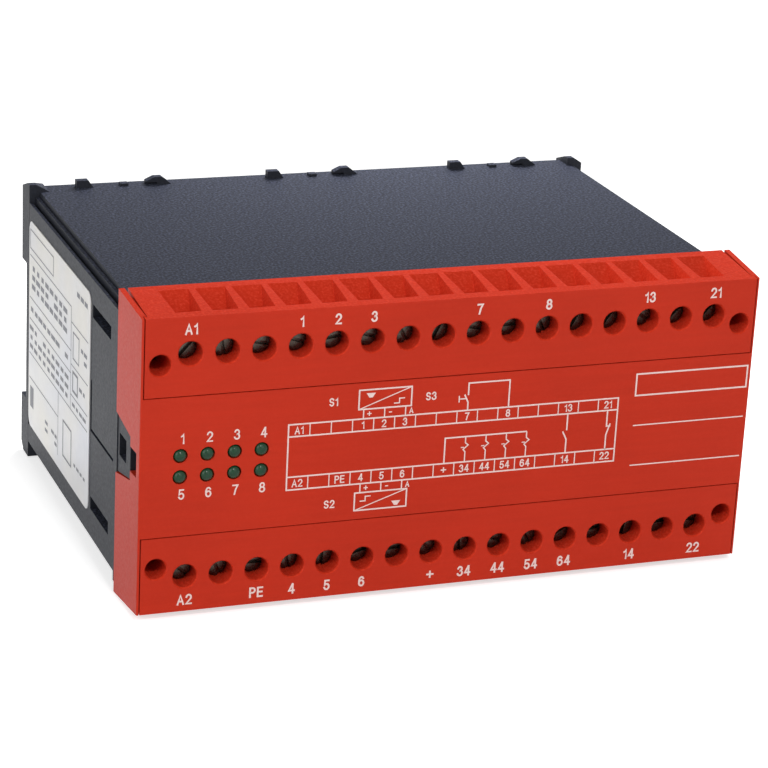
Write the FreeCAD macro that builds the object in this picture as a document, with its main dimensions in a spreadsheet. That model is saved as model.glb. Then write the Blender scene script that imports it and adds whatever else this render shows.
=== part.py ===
# Safety relay in a 150 mm wide rail housing.
#
# X runs across the front from left to right, Y from the front face to the mounting rail and Z up.
# Sketches and primitives measure Y from the front face; each finished piece is then moved by half
# the depth, so that the origin lies under the middle of the housing, on the surface it stands on.
# Heights of what the two terminal rows share are measured out from the middle of the housing.

import FreeCAD, Part
import math
import os

import Sketcher

# name, millimetres, what it is
SIZES = [
    ("width", 150, "overall width, across the hood"),
    ("depth", 111, "overall depth, from the front face to the back of the foot"),
    ("height", 73, "overall height, at the rear edge of the hood"),
    ("gap", 0.2, "clearance between pieces that are pushed together"),
    ("joint_gap", 0.25, "open joint between the hood and a terminal block"),
    ("hood_depth", 17.5, "depth of the hood's wings"),
    ("front_slope", 1.6, "how much lower the hood is at its front, above and below"),
    ("side_slope", 0.6, "how much narrower the hood is at its front, on each side"),
    ("hood_wall", 1.3, "thickness of the hood's wings"),
    ("hood_rim", 0.5, "width of a wing's front edge beside a terminal block"),
    ("panel_wall", 2.2, "thickness of the hood's front panel"),
    ("edge_round", 0.5, "rounding of the hood's front edges"),
    ("pitch", 8.44, "distance from one terminal to the next"),
    ("block_height", 18.2, "height of a terminal block's face"),
    ("block_depth", 15.5, "depth of a terminal block below its roof"),
    ("flange_depth", 1.6, "thickness of the block's face flange"),
    ("roof_wall", 2.0, "thickness of the block's roof behind the wire entries"),
    ("row_inset", 8.5, "screw row below the edge of the block's face"),
    ("screw_hole", 5.6, "diameter of a screwdriver hole"),
    ("hole_rim", 0.3, "chamfer at the mouth of a screwdriver hole"),
    ("end_hole", 4.9, "diameter of the hole over a fixing screw"),
    ("end_inset", 4.3, "fixing screw from the side of the block's face"),
    ("end_drop", 2.3, "fixing screws below the screw row"),
    ("end_seat", 11, "depth of the fixing screw's seat"),
    ("rib_wall", 0.75, "thickness of the ribs between the wire entries"),
    ("mouth_front", 0.2, "front of a wire entry's mouth"),
    ("mouth_back", 16.4, "back of a wire entry's mouth"),
    ("mouth_rise", 0.5, "height of the entry's mouth plane over the hood"),
    ("throat_width", 4.1, "width of a wire entry's throat"),
    ("throat_front", 5.4, "front of the throat"),
    ("throat_back", 8.6, "back of the throat"),
    ("throat_sink", 1.7, "throat below the edge of the block's face"),
    ("throat_wall", 1.0, "height of the throat's straight wall"),
    ("chamber_front", 6.2, "front wall of a clamp chamber"),
    ("chamber_width", 6.9, "width of a clamp chamber"),
    ("chamber_height", 8, "height of a clamp chamber"),
    ("cage_depth", 6.2, "depth of a clamp cage"),
    ("cage_wall", 1.1, "sheet of a clamp cage"),
    ("screw_head", 5.2, "head diameter of a terminal screw"),
    ("screw_head_high", 1.8, "head height of a terminal screw"),
    ("screw_shank", 2.5, "shank diameter of a terminal screw"),
    ("screw_long", 6.4, "length of a terminal screw"),
    ("fixing_head", 4.4, "head diameter of a fixing screw"),
    ("fixing_shank", 2.5, "shank diameter of a fixing screw"),
    ("wall", 2.2, "walls of the housing"),
    ("core_play", 0.2, "play between the ends of the roof and floor and a side plate"),
    ("roof_drop", 2.8, "housing roof below the hood's rear edge"),
    ("floor_rise", 4.3, "housing floor over the surface it stands on"),
    ("shell_front", 15.7, "front edge of the housing's roof and floor"),
    ("rail_lip", 4.8, "foot behind the rail seat"),
    ("back_step", 2.5, "front of the back moulding, where it meets the side plates, ahead of the rail seat"),
    ("side_inset", 0.3, "side plates within the hood's widest point"),
    ("rail_gap", 36, "height of the rail channel"),
    ("foot_height", 15.1, "underside of the rail channel"),
    ("rail_width", 35, "width of the mounting rail"),
    ("hook_reach", 1.3, "how far a hook or a latch covers the rail's edge"),
    ("rail_slit", 1.4, "room for the rail's edge behind a hook"),
    ("rib", 2, "ribs of the back moulding"),
    ("module", 50, "width of one module of the back moulding"),
    ("hook_width", 14, "width of a rail hook"),
    ("ear_rise", 1.9, "ears and lugs over the roof"),
    ("ear_wall", 1.7, "thickness of the ears"),
    ("rim_drop", 2.3, "lip of the floor behind the hood"),
    ("plate_wall", 2.5, "thickness of a side plate"),
    ("plate_drop", 2.6, "top of a side plate below the roof"),
    ("lip_rise", 1.3, "inner lip of a side plate over its top"),
    ("groove", 0.8, "groove along the top of a side plate"),
    ("groove_deep", 2.2, "depth of that groove"),
    ("tongue_tip", 7, "tip of the latch tongue, from the front face"),
    ("tongue_root", 14.2, "height of the tongue at its root"),
    ("tongue_end", 10, "height of the tongue at its tip"),
    ("tongue_mid", 36.8, "middle of the latch tongue"),
    ("pocket_front", 2.3, "front of the release pocket"),
    ("pocket_height", 5.8, "height of the release pocket"),
    ("window_front", 10.5, "front of the tongue's window"),
    ("window_long", 5.7, "length of the tongue's window"),
    ("window_high", 5.4, "height of the tongue's window"),
    ("side_slot_front", 24.3, "front of the side plate's long slots"),
    ("side_slot_long", 16.2, "length of the long slots"),
    ("side_slot_high", 3.2, "height of the long slots"),
    ("side_slot_out", 23.7, "long slots above and below the middle"),
    ("slit", 0.8, "width of the slit round the latch arm"),
    ("slit_front", 20.8, "front end of the slit"),
    ("slit_back", 40.4, "rear leg of the slit"),
    ("slit_low", 30.9, "height of the slit's lower leg"),
    ("slit_rise", 12.4, "length of the slit's rear leg"),
    ("led", 3, "lamp diameter"),
    ("led_flange", 3.8, "lamp flange diameter"),
    ("led_sink", 0.15, "lamps within the front panel"),
    ("led_left", 65.1, "first lamp column, from the middle"),
    ("led_step", 6.26, "distance between lamp columns"),
    ("led_rise", 0.15, "middle of the lamps above the middle of the housing"),
    ("led_rows", 5, "distance between the two lamp rows"),
    ("board", 1.6, "thickness of a circuit board"),
    ("board_half", 70, "half width of a circuit board"),
    ("board_play", 5.2, "rear edge of the long boards ahead of the rail seat"),
    ("display_front", 5.8, "front of the display board"),
    ("header_low", 21.2, "inner side of a header, from the middle"),
    ("header_cover", 3.4, "outer side of a header beyond the screw row"),
    ("header_back", 24, "rear of a header"),
    ("relay_front", 28, "front of the contact relays"),
    ("relay_long", 13, "thickness of a contact relay"),
    ("link_inset", 6, "link board ahead of the rear edge of the long boards"),
    ("pin", 0.8, "thickness of a contact pin"),
    ("latch_width", 18, "width of a rail latch"),
    ("latch_wall", 3, "thickness of a rail latch"),
    ("latch_low", 1.2, "lower end of a rail latch"),
    ("latch_window", 6.2, "width of the latch's window"),
    ("window_low", 4, "lower edge of the latch's window"),
    ("window_top", 12, "upper edge of the latch's window"),
    ("post_top", 6, "top of the post in the latch's window"),
    ("spring_leaf", 0.35, "thickness of a latch spring"),
    ("spring_play", 0.05, "end play of a latch spring"),
    ("label_front", 42, "front edge of the label"),
    ("label_margin", 1.2, "rear edge of the label ahead of the rear edge of its side plate"),
    ("label_high", 54, "height of the label"),
    ("label_thick", 0.2, "thickness of the label"),
    ("label_round", 2.5, "corner radius of the label"),
]
TERMINALS = 16
HOLE_SIDES = 20
LAMP_SIDES = 16
HEAD_SIDES = 8
SHANK_SIDES = 6
MODULES = (-1, 0, 1)
LAMP_COLUMNS = 4
RELAYS = 4


# ---------------------------------------------------------------- the sheet and its sizes


class Size:
    """A length that carries its formula on the sheet together with its present value."""

    def __init__(self, formula, value):
        self.formula = formula
        self.value = value

    def __add__(self, other):
        other = size(other)
        return Size(f"({self.formula} + {other.formula})", self.value + other.value)

    def __sub__(self, other):
        other = size(other)
        return Size(f"({self.formula} - {other.formula})", self.value - other.value)

    def __mul__(self, other):
        other = size(other)
        return Size(f"({self.formula} * {other.formula})", self.value * other.value)

    def __truediv__(self, other):
        other = size(other)
        return Size(f"({self.formula} / {other.formula})", self.value / other.value)

    def __neg__(self):
        return Size(f"(0 - {self.formula})", -self.value)

    __radd__ = __add__
    __rmul__ = __mul__

    def __rsub__(self, other):
        return size(other) - self


def size(value):
    """Takes a plain number as a Size."""
    return value if isinstance(value, Size) else Size(repr(float(value)), float(value))


class Sheet:
    """The driving dimensions, written to the document's spreadsheet and read back by name."""

    def __init__(self, document):
        self.cells = document.addObject("Spreadsheet::Sheet", "dims")
        for row, (name, millimetres, note) in enumerate(SIZES, start=1):
            self.cells.set(f"A{row}", name)
            self.cells.set(f"B{row}", str(millimetres))
            self.cells.set(f"C{row}", note)
            self.cells.setAlias(f"B{row}", name)
        document.recompute()

    def __getattr__(self, name):
        return Size(f"dims.{name}", float(self.cells.get(name)))


doc = FreeCAD.newDocument("safety_relay")
dim = Sheet(doc)


# ---------------------------------------------------------------- helpers for features

PLANES = {"top": "XY_Plane", "front": "XZ_Plane", "side": "YZ_Plane"}
NORMAL = {"top": 1, "front": -1, "side": 1}
finished = []
fronts = {}


def bind(thing, target, length):
    """Binds a property to its formula on the sheet."""
    thing.setExpression(target, size(length).formula)


def finish(thing, label):
    """Names a finished piece and moves it from the front face to its place over the origin."""
    thing.Label = label
    bind(thing, "Placement.Base.y", fronts.get(thing.Name, size(0)) - dim.depth / 2)
    finished.append(thing)
    return thing


def new_body(name):
    return doc.addObject("PartDesign::Body", "body_" + name)


def origin_feature(body, role):
    return next(feature for feature in body.Origin.OriginFeatures if feature.Role == role)


def tie(drawing, geometry, point, u, v):
    """Ties a point of a sketch to its two coordinates."""
    for direction, length in (("DistanceX", size(u)), ("DistanceY", size(v))):
        rule = Sketcher.Constraint(direction, -1, 1, geometry, point, length.value)
        drawing.setExpression(f"Constraints[{drawing.addConstraint(rule)}]", length.formula)


def sketch(body, plane, away, polygons=(), circles=()):
    """Draws closed polygons and circles on a plane of the body, moved along the axis square to it."""
    drawing = body.newObject("Sketcher::SketchObject", "sketch")
    drawing.AttachmentSupport = [(origin_feature(body, PLANES[plane]), "")]
    drawing.MapMode = "FlatFace"
    bind(drawing, "AttachmentOffset.Base.z", size(away) * NORMAL[plane])
    for points in polygons:
        first = drawing.GeometryCount
        corners = [FreeCAD.Vector(size(u).value, size(v).value, 0) for u, v in points]
        for start, end in zip(corners, corners[1:] + corners[:1]):
            drawing.addGeometry(Part.LineSegment(start, end), False)
        for number, (u, v) in enumerate(points):
            before = first + (number - 1) % len(points)
            drawing.addConstraint(Sketcher.Constraint("Coincident", before, 2, first + number, 1))
            tie(drawing, first + number, 1, u, v)
    for u, v, diameter in circles:
        centre = FreeCAD.Vector(size(u).value, size(v).value, 0)
        radius = size(diameter) / 2
        number = drawing.addGeometry(Part.Circle(centre, FreeCAD.Vector(0, 0, 1), radius.value), False)
        tie(drawing, number, 3, u, v)
        rule = drawing.addConstraint(Sketcher.Constraint("Radius", number, radius.value))
        drawing.setExpression(f"Constraints[{rule}]", radius.formula)
    return drawing


def pad(body, plane, away, length, along=1, **outline):
    """Adds material from a sketch, along the axis square to its plane."""
    drawing = sketch(body, plane, away, **outline)
    feature = body.newObject("PartDesign::Pad", "pad")
    feature.Profile = drawing
    feature.Reversed = along != NORMAL[plane]
    bind(feature, "Length", length)
    return feature


def across(body, half, points):
    """Adds a side profile that runs right across the housing, as far each way from its middle."""
    feature = pad(body, "side", -size(half), size(half) * 2, polygons=[points])
    return feature


def pocket(body, plane, away, length, along=1, **outline):
    """Cuts material away from a sketch, along the axis square to its plane."""
    drawing = sketch(body, plane, away, **outline)
    feature = body.newObject("PartDesign::Pocket", "pocket")
    feature.Profile = drawing
    feature.Reversed = along == NORMAL[plane]
    bind(feature, "Length", length)
    return feature


def bore(body, x, z, diameter, front, back, sides):
    """Cuts a bore along Y, with as many sides as its size needs to look and work round."""
    hole = body.newObject("PartDesign::SubtractivePrism", "bore")
    hole.Placement.Rotation = FreeCAD.Rotation(FreeCAD.Vector(1, 0, 0), -90)
    for axis, place in zip("xyz", (x, front, z)):
        bind(hole, "Placement.Base." + axis, place)
    hole.Polygon = sides
    bind(hole, "Circumradius", size(diameter) / 2)
    bind(hole, "Height", size(back) - front)
    return hole


def repeat(body, features, spacing, count):
    """Repeats features along X."""
    pattern = body.newObject("PartDesign::LinearPattern", "pattern")
    pattern.Originals = features
    pattern.Direction = (origin_feature(body, "X_Axis"), [""])
    pattern.Mode = "Spacing"
    bind(pattern, "Offset", spacing)
    pattern.Occurrences = count
    body.Tip = pattern
    return pattern


def rectangle(low_u, high_u, low_v, high_v):
    return [(low_u, low_v), (high_u, low_v), (high_u, high_v), (low_u, high_v)]


def ring(u, v, diameter, sides):
    """A regular outline in a circle of that diameter, starting level with its centre."""
    turns = [2 * math.pi * step / sides for step in range(sides)]
    radius = diameter / 2
    return [(u + radius * round(math.cos(t), 9), v + radius * round(math.sin(t), 9)) for t in turns]


def rim(body, places, diameter, slope):
    """Chamfers the mouths of holes in the front face."""
    outlines = [ring(u, v, diameter + 2 * slope, HOLE_SIDES) for u, v in places]
    bevel = pocket(body, "front", 0, slope, polygons=outlines)
    bevel.TaperAngle = -45
    return bevel


def box(x, y, z):
    """A block between pairs of coordinates."""
    block = doc.addObject("Part::Box", "block")
    for side, axis, (low, high) in zip(("Length", "Width", "Height"), "xyz", (x, y, z)):
        bind(block, side, size(high) - low)
        bind(block, "Placement.Base." + axis, low)
    fronts[block.Name] = size(y[0])
    return block


def rod(axis, centre, diameter, low, high, sides=0):
    """A bar along X, Y or Z, round or with sides; centre gives its other two coordinates in order."""
    bar = doc.addObject("Part::Prism" if sides else "Part::Cylinder", "rod")
    turn = {
        "x": FreeCAD.Rotation(FreeCAD.Vector(0, 1, 0), 90),
        "y": FreeCAD.Rotation(FreeCAD.Vector(1, 0, 0), -90),
        "z": FreeCAD.Rotation(),
    }
    bar.Placement = FreeCAD.Placement(FreeCAD.Vector(), turn[axis])
    others = [letter for letter in "xyz" if letter != axis]
    for letter, place in zip([axis, *others], [low, *centre]):
        bind(bar, "Placement.Base." + letter, place)
    if sides:
        bar.Polygon = sides
    bind(bar, "Circumradius" if sides else "Radius", size(diameter) / 2)
    bind(bar, "Height", size(high) - low)
    fronts[bar.Name] = size(low if axis == "y" else centre[-1 if axis == "x" else 1])
    return bar


def fuse(*shapes):
    joined = doc.addObject("Part::MultiFuse", "fuse")
    joined.Shapes = list(shapes)
    joined.Refine = True
    return joined


def cut(base, *tools):
    result = doc.addObject("Part::Cut", "cut")
    result.Base = base
    result.Tool = tools[0] if len(tools) == 1 else fuse(*tools)
    return result


def group(*shapes):
    """Keeps several separate solids together as one piece."""
    together = doc.addObject("Part::Compound", "group")
    together.Links = list(shapes)
    return together


# ---------------------------------------------------------------- places that pieces share

middle = dim.height / 2
half_width = dim.width / 2
hood_inner = half_width - dim.hood_wall
hood_front_half = half_width - dim.side_slope
hood_front_inner = hood_front_half - dim.hood_wall
face_top = middle - dim.front_slope
block_low = face_top - dim.block_height
row = face_top - dim.row_inset
end_row = row - dim.end_drop
block_half = hood_front_inner - dim.gap
flange_half = hood_front_half - dim.hood_rim - dim.joint_gap
end_hole_x = flange_half - dim.end_inset + dim.hood_rim + dim.joint_gap
throat_plane = face_top - dim.throat_sink
roof_top = dim.height - dim.roof_drop
side_out = half_width - dim.side_inset
plate_in = side_out - dim.plate_wall
shell_half = plate_in - dim.core_play
plate_top = roof_top - dim.plate_drop
channel_top = dim.foot_height + dim.rail_gap
seat = dim.depth - dim.rail_lip
back_front = seat - dim.back_step
board_back = seat - dim.board_play
link_front = board_back - dim.link_inset
relay_back = dim.relay_front + dim.relay_long
hook_front = seat + dim.rail_slit
screw_face = dim.chamber_front - dim.screw_head_high
first_terminal = dim.pitch * (-(TERMINALS - 1) / 2)


def terminal_x(number):
    return first_terminal + dim.pitch * number


def height(side, out):
    """The height of something that lies above (side 1) or below (side -1) the housing's middle."""
    return middle + size(out) * side


def span(side, low, high):
    """Two heights in rising order, from their distances out from the middle."""
    return (height(side, low), height(side, high))[::side]


# ---------------------------------------------------------------- hood


def hood():
    """The red hood: a front panel with a wing at each side, open above and below for the blocks."""
    body = new_body("hood")
    plan = [
        (-half_width, dim.hood_depth),
        (-hood_front_half, 0),
        (hood_front_half, 0),
        (half_width, dim.hood_depth),
        (hood_inner, dim.hood_depth),
        (hood_front_inner, dim.panel_wall),
        (-hood_front_inner, dim.panel_wall),
        (-hood_inner, dim.hood_depth),
    ]
    pad(body, "top", 0, dim.height, polygons=[plan])
    for side in (1, -1):
        wedge = [
            (0, height(side, face_top)),
            (dim.hood_depth, height(side, middle)),
            (dim.hood_depth, height(side, middle + 1)),
            (0, height(side, middle + 1)),
        ]
        pocket(body, "side", -half_width - 1, dim.width + 2, polygons=[wedge])
        window = span(side, block_low - dim.joint_gap, middle + 1)
        flange_room = flange_half + dim.joint_gap
        rebate = rectangle(-flange_room, flange_room, *window)
        pocket(body, "front", 0, dim.flange_depth + dim.gap, polygons=[rebate])
        opening = rectangle(-hood_front_inner, hood_front_inner, *window)
        pocket(body, "front", 0, dim.panel_wall, polygons=[opening])
    for x, z in lamp_places():
        bore(body, x, z, dim.led + 2 * dim.gap, -1, dim.panel_wall + 1, LAMP_SIDES)
    root = dim.tongue_root / 2 + dim.gap
    tip = dim.tongue_end / 2 + dim.gap
    release = dim.pocket_height / 2
    cutout = [
        (dim.hood_depth + 1, dim.tongue_mid + root),
        (dim.hood_depth, dim.tongue_mid + root),
        (dim.tongue_tip - dim.gap, dim.tongue_mid + tip),
        (dim.tongue_tip - dim.gap, dim.tongue_mid + release),
        (dim.pocket_front, dim.tongue_mid + release),
        (dim.pocket_front, dim.tongue_mid - release),
        (dim.tongue_tip - dim.gap, dim.tongue_mid - release),
        (dim.tongue_tip - dim.gap, dim.tongue_mid - tip),
        (dim.hood_depth, dim.tongue_mid - root),
        (dim.hood_depth + 1, dim.tongue_mid - root),
    ]
    last = pocket(body, "side", -half_width - 1, dim.width + 2, polygons=[cutout])
    doc.recompute()
    upright = edges(last, lambda e: leans_back(e, hood_front_half.value))
    rounded = body.newObject("PartDesign::Fillet", "round")
    rounded.Base = (last, upright)
    bind(rounded, "Radius", dim.edge_round * 0.7)
    return finish(body, "hood")


def edges(feature, test):
    """Names the edges of a feature that pass a test."""
    return [f"Edge{n}" for n, e in enumerate(feature.Shape.Edges, start=1) if test(e)]


def leans_back(edge, half):
    """True for the hood's two long upright front edges."""
    corners = edge.BoundBox
    at_side = abs(abs(corners.Center.x) - half) < 0.01
    return at_side and corners.YMax < 0.01 and corners.ZLength > 1


# ---------------------------------------------------------------- terminals


def terminal_block(side, label):
    """A red terminal block: screwdriver holes in its face, wire entries in its sloping roof."""
    body = new_body(label)
    profile = [
        (dim.flange_depth, height(side, block_low)),
        (dim.flange_depth, height(side, face_top + dim.front_slope * dim.flange_depth / dim.hood_depth)),
        (dim.hood_depth, height(side, middle)),
        (dim.hood_depth, height(side, middle - dim.roof_wall)),
        (dim.block_depth, height(side, middle - dim.roof_wall)),
        (dim.block_depth, height(side, block_low)),
    ]
    across(body, block_half, profile)
    flange = [
        (0, height(side, block_low)),
        (0, height(side, face_top)),
        (dim.flange_depth, height(side, face_top + dim.front_slope * dim.flange_depth / dim.hood_depth)),
        (dim.flange_depth, height(side, block_low)),
    ]
    across(body, flange_half, flange)
    x = first_terminal
    wide = dim.chamber_width / 2
    tall = dim.chamber_height / 2
    chamber = rectangle(x - wide, x + wide, *span(side, row - tall, row + tall))
    room = pocket(body, "front", dim.chamber_front, dim.block_depth, polygons=[chamber])
    slot = dim.throat_width / 2
    throat = rectangle(x - slot, x + slot, dim.throat_front, dim.throat_back)
    neck_plane = throat_plane - dim.throat_wall
    straight = pocket(body, "top", height(side, throat_plane), dim.throat_wall, along=-side, polygons=[throat])
    neck = rectangle(x - slot, x + slot, dim.throat_front, dim.throat_back + 2.4)
    depth = neck_plane - row - tall
    down = pocket(body, "top", height(side, neck_plane), depth, along=-side, polygons=[neck])
    mouth = rim(body, [(x, height(side, row))], dim.screw_hole, dim.hole_rim)
    repeat(body, [room, straight, down, mouth], dim.pitch, TERMINALS)
    repeat(body, [wire_funnel(body, side, x)], dim.pitch, TERMINALS)
    driver = bore(body, x, height(side, row), dim.screw_hole, -1, dim.chamber_front + 1, HOLE_SIDES)
    repeat(body, [driver], dim.pitch, TERMINALS)
    ends = [(sign * end_hole_x, height(side, end_row)) for sign in (1, -1)]
    rim(body, ends, dim.end_hole, dim.hole_rim)
    for place in ends:
        bore(body, *place, dim.end_hole, -1, dim.end_seat, HOLE_SIDES)
        shank = dim.fixing_shank + 2 * dim.gap
        bore(body, *place, shank, dim.end_seat - 1, dim.block_depth + 1, SHANK_SIDES)
    return finish(body, label)


def wire_funnel(body, side, x):
    """A wire entry: a four-sided hopper from the roof down to the throat."""
    mouth = (dim.pitch - dim.rib_wall) / 2
    throat = dim.throat_width / 2
    wide = (x - mouth, x + mouth, -dim.mouth_back, -dim.mouth_front)
    narrow = (x - throat, x + throat, -dim.throat_back, -dim.throat_front)
    low, high = span(side, throat_plane, middle + dim.mouth_rise)
    funnel = body.newObject("PartDesign::SubtractiveWedge", "funnel")
    funnel.Placement.Rotation = FreeCAD.Rotation(FreeCAD.Vector(1, 0, 0), 90)
    lower, upper = (narrow, wide)[::side]
    for name, length in zip(("Xmin", "Xmax", "Zmin", "Zmax"), lower):
        bind(funnel, name, length)
    for name, length in zip(("X2min", "X2max", "Z2min", "Z2max"), upper):
        bind(funnel, name, length)
    bind(funnel, "Ymin", low)
    bind(funnel, "Ymax", high)
    return funnel


def terminal_screws(side, label):
    """Sixteen clamp screws, seen at the bottom of the screwdriver holes."""
    screws = []
    for number in range(TERMINALS):
        place = (terminal_x(number), height(side, row))
        tip = screw_face + dim.screw_long
        head = rod("y", place, dim.screw_head, screw_face, dim.chamber_front, HEAD_SIDES)
        shank = rod("y", place, dim.screw_shank, dim.chamber_front, tip, SHANK_SIDES)
        screws.append(fuse(head, shank))
    return finish(group(*screws), label)


def clamp_cages(side, label):
    """Sixteen clamp cages, each drawn up by its screw on to the wire."""
    cages = []
    front = dim.chamber_front + dim.gap
    back = front + dim.cage_depth
    wide = dim.chamber_width / 2 - dim.gap
    tall = dim.chamber_height / 2 - dim.gap
    for number in range(TERMINALS):
        x = terminal_x(number)
        z = height(side, row)
        outside = box((x - wide, x + wide), (front, back), (z - tall, z + tall))
        window = box(
            (x - wide + dim.cage_wall, x + wide - dim.cage_wall),
            (front + dim.cage_wall, back - dim.cage_wall),
            (z - tall - 1, z + tall + 1),
        )
        thread = dim.screw_shank + dim.gap / 2
        tapped = rod("y", (x, z), thread, front - 1, front + dim.cage_wall + 1, SHANK_SIDES)
        cages.append(cut(outside, window, tapped))
    return finish(group(*cages), label)


def fixing_screws():
    """The four captive screws that hold the two terminal blocks to their headers."""
    screws = []
    for side in (1, -1):
        for sign in (1, -1):
            place = (sign * end_hole_x, height(side, end_row))
            face = dim.end_seat - 2
            head = rod("y", place, dim.fixing_head, face, dim.end_seat, HEAD_SIDES)
            shank = rod("y", place, dim.fixing_shank, dim.end_seat, dim.header_back - 1, SHANK_SIDES)
            screws.append(fuse(head, shank))
    return finish(group(*screws), "block_fixing_screws")


def header(side, label):
    """The fixed half of a plug-in terminal row, with a slot for each contact pin."""
    body = new_body(label)
    front = dim.block_depth + dim.gap
    low, high = span(side, dim.header_low, row + dim.header_cover)
    across(body, shell_half - dim.gap, rectangle(front, dim.header_back, low, high))
    x = first_terminal
    half = dim.pin / 2 + dim.gap
    slot = rectangle(x - half, x + half, *span(side, dim.header_low - 1, row + half))
    through = pocket(body, "front", front, dim.header_back, polygons=[slot])
    repeat(body, [through], dim.pitch, TERMINALS)
    for sign in (1, -1):
        place = (sign * end_hole_x, height(side, end_row))
        bore(body, *place, dim.fixing_shank + dim.gap, front - 1, dim.header_back + 1, SHANK_SIDES)
    return finish(body, label)


def contact_pins(side, label):
    """Sixteen angled pins that carry the clamps' current down to the board."""
    pins = []
    front = dim.chamber_front + 2 * dim.gap + dim.cage_depth
    half = dim.pin / 2
    heel = dim.header_back - dim.pin
    for number in range(TERMINALS):
        x = terminal_x(number)
        level = box((x - half, x + half), (front, heel), span(side, row - half, row + half))
        upright = box((x - half, x + half), (heel - dim.pin, heel), span(side, dim.header_low, row + half))
        pins.append(fuse(level, upright))
    return finish(group(*pins), label)


# ---------------------------------------------------------------- housing and side plates


def housing():
    """The dark housing: roof, floor and back in one moulding, with the rail channel behind."""
    body = new_body("housing")
    back_inner = seat - dim.wall
    shell = [
        (dim.shell_front, roof_top),
        (seat, roof_top),
        (seat, dim.floor_rise),
        (dim.shell_front, dim.floor_rise),
        (dim.shell_front, dim.floor_rise + dim.wall),
        (back_inner, dim.floor_rise + dim.wall),
        (back_inner, roof_top - dim.wall),
        (dim.shell_front, roof_top - dim.wall),
    ]
    across(body, shell_half, shell)
    across(body, side_out, rectangle(back_front, seat, dim.floor_rise, roof_top))
    lip = rectangle(dim.hood_depth + dim.gap, dim.hood_depth + dim.rib, dim.floor_rise - dim.rim_drop, dim.floor_rise)
    across(body, side_out, lip)
    slant = dim.rib
    upper = [
        (seat, channel_top),
        (dim.depth, channel_top),
        (dim.depth, roof_top - slant),
        (dim.depth - slant, roof_top),
        (seat, roof_top),
    ]
    across(body, side_out, upper)
    foot = [
        (back_front, 0),
        (dim.depth - slant, 0),
        (dim.depth, slant),
        (dim.depth, dim.foot_height),
        (back_front, dim.foot_height),
    ]
    across(body, side_out, foot)
    back_ribs(body, back_inner)
    ears(body)
    for number in MODULES:
        rail_hook(body, dim.module * number)
        lugs(body, dim.module * number)
        latch_guide(body, dim.module * number)
    return finish(body, "housing")


def back_ribs(body, back_inner):
    """Hollows out the back between ribs, so that every wall is about as thick as the others."""
    upper, lower = [], []
    for number in MODULES:
        centre = dim.module * number
        for sign in (1, -1):
            near = centre + sign * dim.rib / 2
            guide = centre + sign * (dim.latch_width / 2 + dim.gap + dim.rib)
            far = centre + sign * (dim.module - dim.rib) / 2
            if number == sign:
                far = sign * (side_out - dim.ear_wall)
            upper.append((near, far)[::sign])
            lower.append((guide, far)[::sign])
    high = [rectangle(*pair, channel_top + dim.rib, roof_top - dim.wall) for pair in upper]
    pocket(body, "front", seat, dim.depth, polygons=high)
    low = [rectangle(*pair, dim.rib, dim.foot_height - dim.rib) for pair in lower]
    pocket(body, "front", back_front + dim.rib, dim.depth, polygons=low)


def ears(body):
    """The two corner ears, both with their slope to the right."""
    rise = roof_top + dim.ear_rise
    base = roof_top - dim.wall
    left = [
        (-side_out, base),
        (-side_out, rise),
        (-side_out + dim.ear_wall, rise),
        (-side_out + 3 * dim.ear_wall, roof_top),
        (-side_out + 3 * dim.ear_wall, base),
    ]
    right = [
        (side_out, base),
        (side_out, roof_top + dim.ear_rise / 4),
        (side_out - 1.4 * dim.ear_wall, rise),
        (side_out - 2.4 * dim.ear_wall, rise),
        (side_out - 2.4 * dim.ear_wall, base),
    ]
    for outline in (left, right):
        pad(body, "front", back_front, dim.depth - back_front, polygons=[outline])
    slope = [
        (back_front + dim.rib, rise + 1),
        (back_front + dim.rib, rise),
        (dim.depth, roof_top),
        (dim.depth + 1, roof_top),
        (dim.depth + 1, rise + 1),
    ]
    pocket(body, "side", -side_out - 1, side_out * 2 + 2, polygons=[slope])


def rail_hook(body, centre):
    """A fixed hook under the upper shoulder, which the rail's top edge slips behind."""
    half = dim.hook_width / 2
    nose = [
        (hook_front, channel_top + 0.01),
        (hook_front, channel_top - dim.hook_reach),
        (hook_front + dim.hook_reach, channel_top - dim.hook_reach),
        (dim.depth, channel_top - dim.hook_reach / 3),
        (dim.depth, channel_top + 0.01),
    ]
    pad(body, "side", centre - half, dim.hook_width, polygons=[nose])


def lugs(body, centre):
    """A square lug, a small stop and a rounded hook that stand over the roof's rear edge."""
    base = roof_top - dim.rib / 2
    rise = roof_top + dim.ear_rise
    square = [
        (centre - 12.3, base),
        (centre - 12.3, rise),
        (centre - 9.3, rise),
        (centre - 8, roof_top),
        (centre - 8, base),
    ]
    hook = [
        (centre + 5.6, base),
        (centre + 5.6, roof_top + dim.ear_rise / 2),
        (centre + 7.7, rise),
        (centre + 9.7, rise),
        (centre + 12.2, roof_top),
        (centre + 12.2, base),
    ]
    stop = rectangle(centre - 1, centre + 1, base, roof_top + dim.ear_rise / 3)
    front = seat - dim.rib / 2
    pad(body, "front", front, dim.rib, polygons=[square, hook, stop])
    slot = rectangle(centre + 5, centre + 8.4, roof_top, roof_top + dim.ear_rise / 3)
    pocket(body, "front", front - 1, dim.rib, polygons=[slot])


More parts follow.
